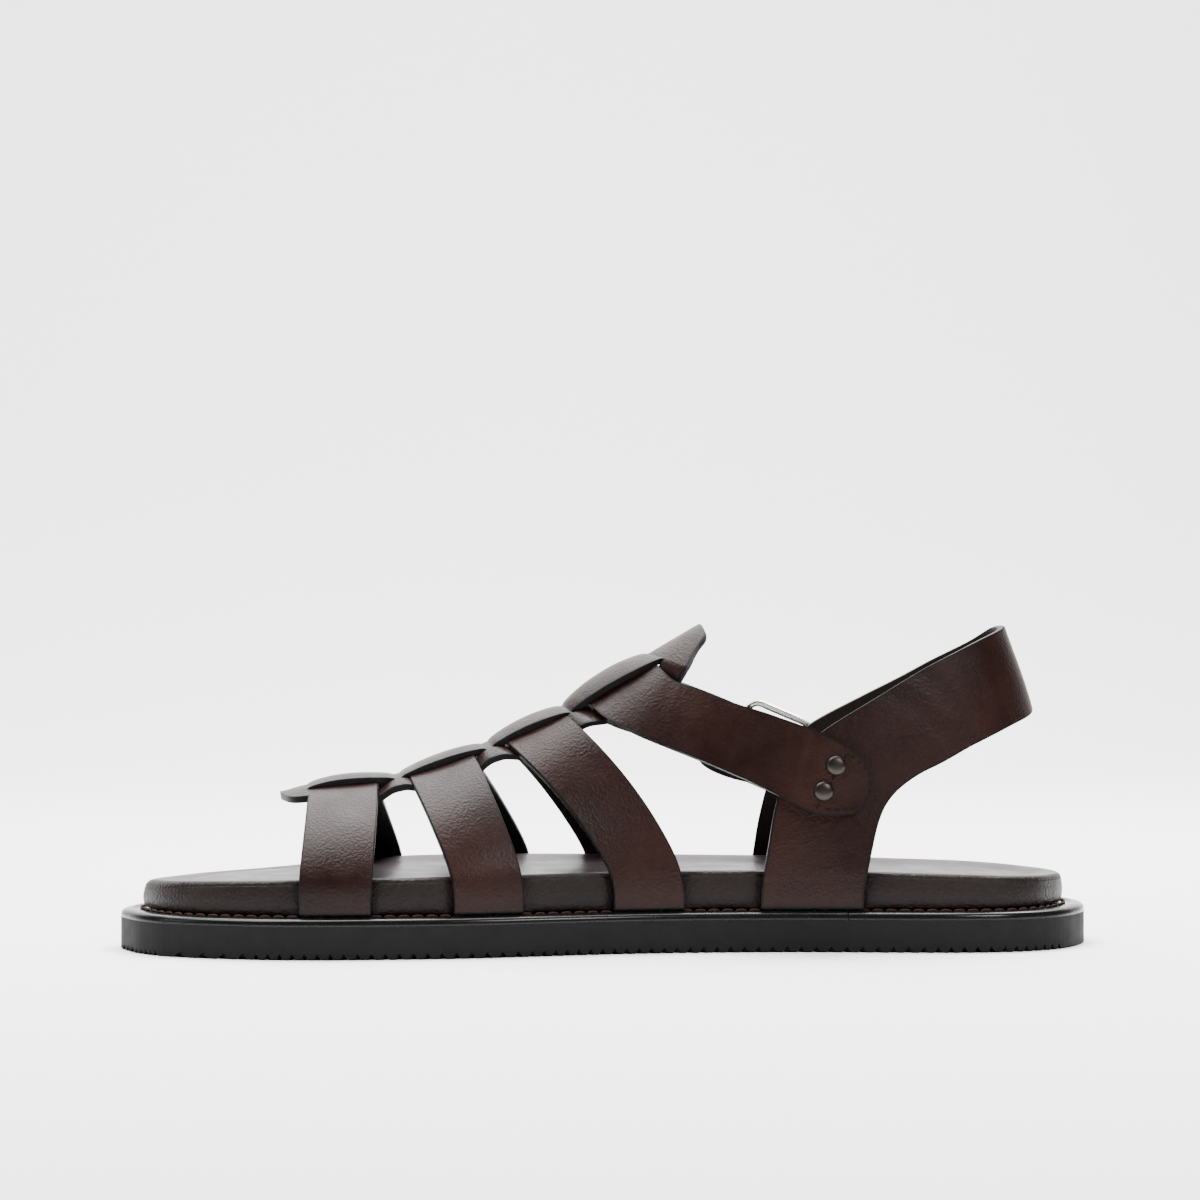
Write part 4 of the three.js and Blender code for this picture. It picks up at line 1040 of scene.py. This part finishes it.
def ankle_strap():
    rows = np.linspace(0, len(ROWS) - 1, 210)[:, None]
    across = ACROSS[None, :]
    rows, across = np.broadcast_arrays(rows, across)
    thick = np.full(rows.shape, LEATHER)
    for row, lean, depth, width in TAB_CREASES:
        thick = thick - depth * np.exp(-(((rows - row) - lean * (across - 0.5)) / width) ** 2)
    outer, inner = ankle_point(rows, across, thick), ankle_point(rows, across, 0.0)
    strap_piece("ankle_strap_leather", "ankle_strap", outer, inner)


# One stitch: (share of its length, height and thickness as shares of its radius)
STITCH = np.array([
    (0, -1.1, 0.7), (0.12, -0.2, 0.95), (0.3, 0.25, 1), (0.5, 0.35, 1), (0.7, 0.25, 1),
    (0.88, -0.2, 0.95), (1, -1.1, 0.7)])
# The tab's stitches: their distance from its edges as a share of its width, and their first row
TAB_EDGE = 0.085
TAB_END = 0.35


def stitches(name, path, normals, material, length, gap, radius):
    """A row of thread stitches along a path of points, each sunk into its leather."""
    run = run_of(path)
    parts = []
    for start in np.arange(gap / 2, run[-1] - length, length + gap):
        at = start + length * STITCH[:, 0]
        spots = np.stack([np.interp(at, run, path[:, k]) for k in range(3)], axis=1)
        out = np.stack([np.interp(at, run, normals[:, k]) for k in range(3)], axis=1)
        parts.append(tube(spots + out * radius * STITCH[:, 1:2], radius * STITCH[:, 2], 7))
    piece = joined(name, parts, [material])
    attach(piece, BODY)


def tab_stitches():
    def line(rows, across):
        rows, across = np.broadcast_arrays(np.asarray(rows, float), np.asarray(across, float))
        low, high = ankle_point(rows, across, LEATHER), ankle_point(rows, across, LEATHER + 1)
        return low, high - low

    upper, out_upper = line(np.linspace(2.1, TAB_END, 60), TAB_EDGE)
    end, out_end = line(TAB_END, np.linspace(TAB_EDGE, 1 - TAB_EDGE, 20))
    lower, out_lower = line(np.linspace(TAB_END, 2.95, 60), 1 - TAB_EDGE)
    stitches("tab_stitches", np.vstack([upper, end, lower]), np.vstack([out_upper, out_end, out_lower]),
             DARK_THREAD, 1.7, 0.8, 0.3)
    row, out_row = line(np.linspace(2.15, 3.0, 20), np.linspace(0.06, 0.94, 20))
    stitches("tab_cross_stitches", row, out_row, DARK_THREAD, 1.7, 0.8, 0.34)


# How far the welt's stitches lie outside the footbed's wall
STITCH_INSET = 0.95


def welt_stitches():
    loop = outline_points(900)
    inset = ledge(loop[:, 0]) - STITCH_INSET
    path = loop + inward_normals(loop) * inset[:, None]
    path = np.column_stack([path, np.full(len(path), WELT_TOP + 0.05)])
    path = np.vstack([path, path[:1]])
    up = np.tile([0, 0, 1.0], (len(path), 1))
    stitches("welt_stitches", path, up, THREAD, 3.4, 0.7, 0.36)


for strap_name, strap_edges in STRAPS.items():
    cross_strap(strap_name + "_strap", strap_edges)
centre_strip()
heel_strap()
outer_underlay()
ankle_strap()
tab_stitches()
welt_stitches()


# Rivets and buckle


# A rivet from its inner end to its dome: (radius, height over the tab)
RIVET = (
    (1.9, -6.6), (2.2, -6.3), (2.2, -5.75), (1.3, -5.7), (1.3, 0.05), (2.75, 0.05), (2.93, 0.12),
    (2.95, 0.3), (2.87, 0.5), (2.66, 0.74), (2.3, 0.95), (1.75, 1.12), (1.0, 1.23), (0.35, 1.26))


def make_rivets():
    for name, (along, height) in RIVETS.items():
        x = place(along)
        turn = turn_of(x, height * HEEL_STRAP_HEIGHT, -1)
        foot = on_last(x, turn, 2 * LEATHER + 2 * CLEARANCE)
        axis = on_last(x, turn, 3 * LEATHER + 2 * CLEARANCE) - foot
        axis /= np.linalg.norm(axis)
        side = np.cross(axis, [0, 0, 1.0])
        side /= np.linalg.norm(side)
        up = np.cross(side, axis)
        turns = np.linspace(0, 2 * math.pi, 40, endpoint=False)[:, None]
        rings = [foot + axis * h + r * (np.cos(turns) * side + np.sin(turns) * up) for r, h in RIVET]
        piece = mesh_object(name + "_dome", *loft(rings), [GUNMETAL])
        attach(piece, BODY)
        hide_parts(name)


def dress(node, material):
    """A node of the frame that is shown as it is, with rounded edges and its own finish."""
    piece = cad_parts[node]
    piece.data.materials.clear()
    piece.data.materials.append(material)
    bevel(piece, 0.25, 2)


# The keeper's section: (row on the ankle strap, outwards)
KEEPER = ((17.5, 0), (17.5, 1.1), (17.56, 1.35), (17.8, 1.4), (18.08, 1.35), (18.14, 1.1), (18.14, 0))
# Its inside: half its width as a share of the strap's, half its height, and how square its corners are
KEEPER_HALF_WIDTH = 0.545
KEEPER_HALF_HEIGHT = 1.75
KEEPER_SQUARENESS = 0.3


def make_keeper():
    """The leather loop round the ankle strap's end, on the outer side."""
    turns = np.linspace(0, 2 * math.pi, 64, endpoint=False)
    x, y = (np.sign(way) * np.abs(way) ** KEEPER_SQUARENESS for way in (np.cos(turns), np.sin(turns)))
    rings = []
    for row, grow in KEEPER:
        across = 0.5 + (KEEPER_HALF_WIDTH + grow / 20) * x
        offset = LEATHER / 2 + (KEEPER_HALF_HEIGHT + grow) * y
        rings.append(ankle_point(np.full(len(turns), row), across, offset))
    piece = mesh_object("keeper_loop", *loft(rings, closed=True), [STRAP])
    bevel(piece, 0.2, 2, 50)
    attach(piece, BODY)
    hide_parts("keeper")


make_rivets()
dress("buckle_frame", NICKEL)
dress("buckle_prong", NICKEL)
dress("buckle_chape", STRAP)
make_keeper()


# Floor, light and camera


# The floor: half its width, its front and rear end, and the sweep that carries it up behind the shoe
FLOOR_HALF_WIDTH = 3200
FLOOR_FRONT = -3000
FLOOR_REAR = 900
SWEEP_RADIUS = 700
SWEEP_TOP = 2600
# The camera: level, turned towards the heel; its lens and sensor in mm, as on a real one
CAMERA_YAW = 5.5
CAMERA_DISTANCE = 1066.5
CAMERA_SIDEWAYS = -1.2
CAMERA_HEIGHT = 105.5
CAMERA_LENS = 103.2
CAMERA_SENSOR = 36
# Soft lights: (name, place, what it aims at, length and width, power in watts)
LIGHTS = (
    ("overhead", (-60, 70, 1000), (-20, 0, 0), (1600, 540), 46),
    ("rear top", (150, 600, 800), (0, 0, 60), (1400, 300), 10),
    ("left", (-1100, -350, 450), (0, 0, 60), (500, 500), 2),
    ("front right", (430, -720, 600), (90, 0, 70), (240, 240), 6),
    ("backdrop wash", (0, 700, 1700), (0, 1500, 250), (2600, 600), 96),
)
SKY_COLOUR = (0.95, 0.96, 1.0, 1)
SKY_STRENGTH = 0.15


def make_floor():
    profile = [(FLOOR_FRONT, 0), (FLOOR_REAR, 0)]
    for turn in np.radians(np.linspace(0, 90, 25)):
        y = FLOOR_REAR + SWEEP_RADIUS * math.sin(turn)
        profile.append((y, SWEEP_RADIUS * (1 - math.cos(turn))))
    profile.append((FLOOR_REAR + SWEEP_RADIUS, SWEEP_TOP))
    verts = [(x, y, z) for y, z in profile for x in (-FLOOR_HALF_WIDTH, FLOOR_HALF_WIDTH)]
    faces = [(2 * k, 2 * k + 1, 2 * k + 3, 2 * k + 2) for k in range(len(profile) - 1)]
    material = shader("pale floor", (0.9, 0.9, 0.9), 0.9)[0]
    piece = mesh_object("floor", verts, faces, [0] * len(faces), [material])


def area_light(name, spot, aim, size, power):
    data = bpy.data.lights.new(name, "AREA")
    data.shape = "RECTANGLE"
    data.size, data.size_y = size[0] * MM, size[1] * MM
    data.energy = power
    lamp = bpy.data.objects.new(name, data)
    lamp.location = Vector(spot) * MM
    lamp.rotation_euler = (Vector(aim) - Vector(spot)).to_track_quat("-Z", "Y").to_euler()
    bpy.context.scene.collection.objects.link(lamp)


def make_camera():
    yaw = math.radians(CAMERA_YAW)
    forward = Vector((math.sin(yaw), math.cos(yaw), 0))
    right = Vector((math.cos(yaw), -math.sin(yaw), 0))
    up = Vector((0, 0, 1))
    spot = (CAMERA_SIDEWAYS * right - CAMERA_DISTANCE * forward + CAMERA_HEIGHT * up) * MM
    data = bpy.data.cameras.new("camera")
    data.lens, data.sensor_width = CAMERA_LENS, CAMERA_SENSOR
    data.clip_start, data.clip_end = 0.05, 20
    camera = bpy.data.objects.new("camera", data)
    turned = Matrix((right, up, -forward)).transposed().to_4x4()
    camera.matrix_world = Matrix.Translation(spot) @ turned
    bpy.context.scene.collection.objects.link(camera)
    bpy.context.scene.camera = camera


def make_world():
    world = bpy.data.worlds.new("studio")
    world.use_nodes = True
    background = world.node_tree.nodes["Background"]
    fill(background, {"Color": SKY_COLOUR, "Strength": SKY_STRENGTH})
    bpy.context.scene.world = world


make_floor()
make_camera()
make_world()
for light in LIGHTS:
    area_light(*light)
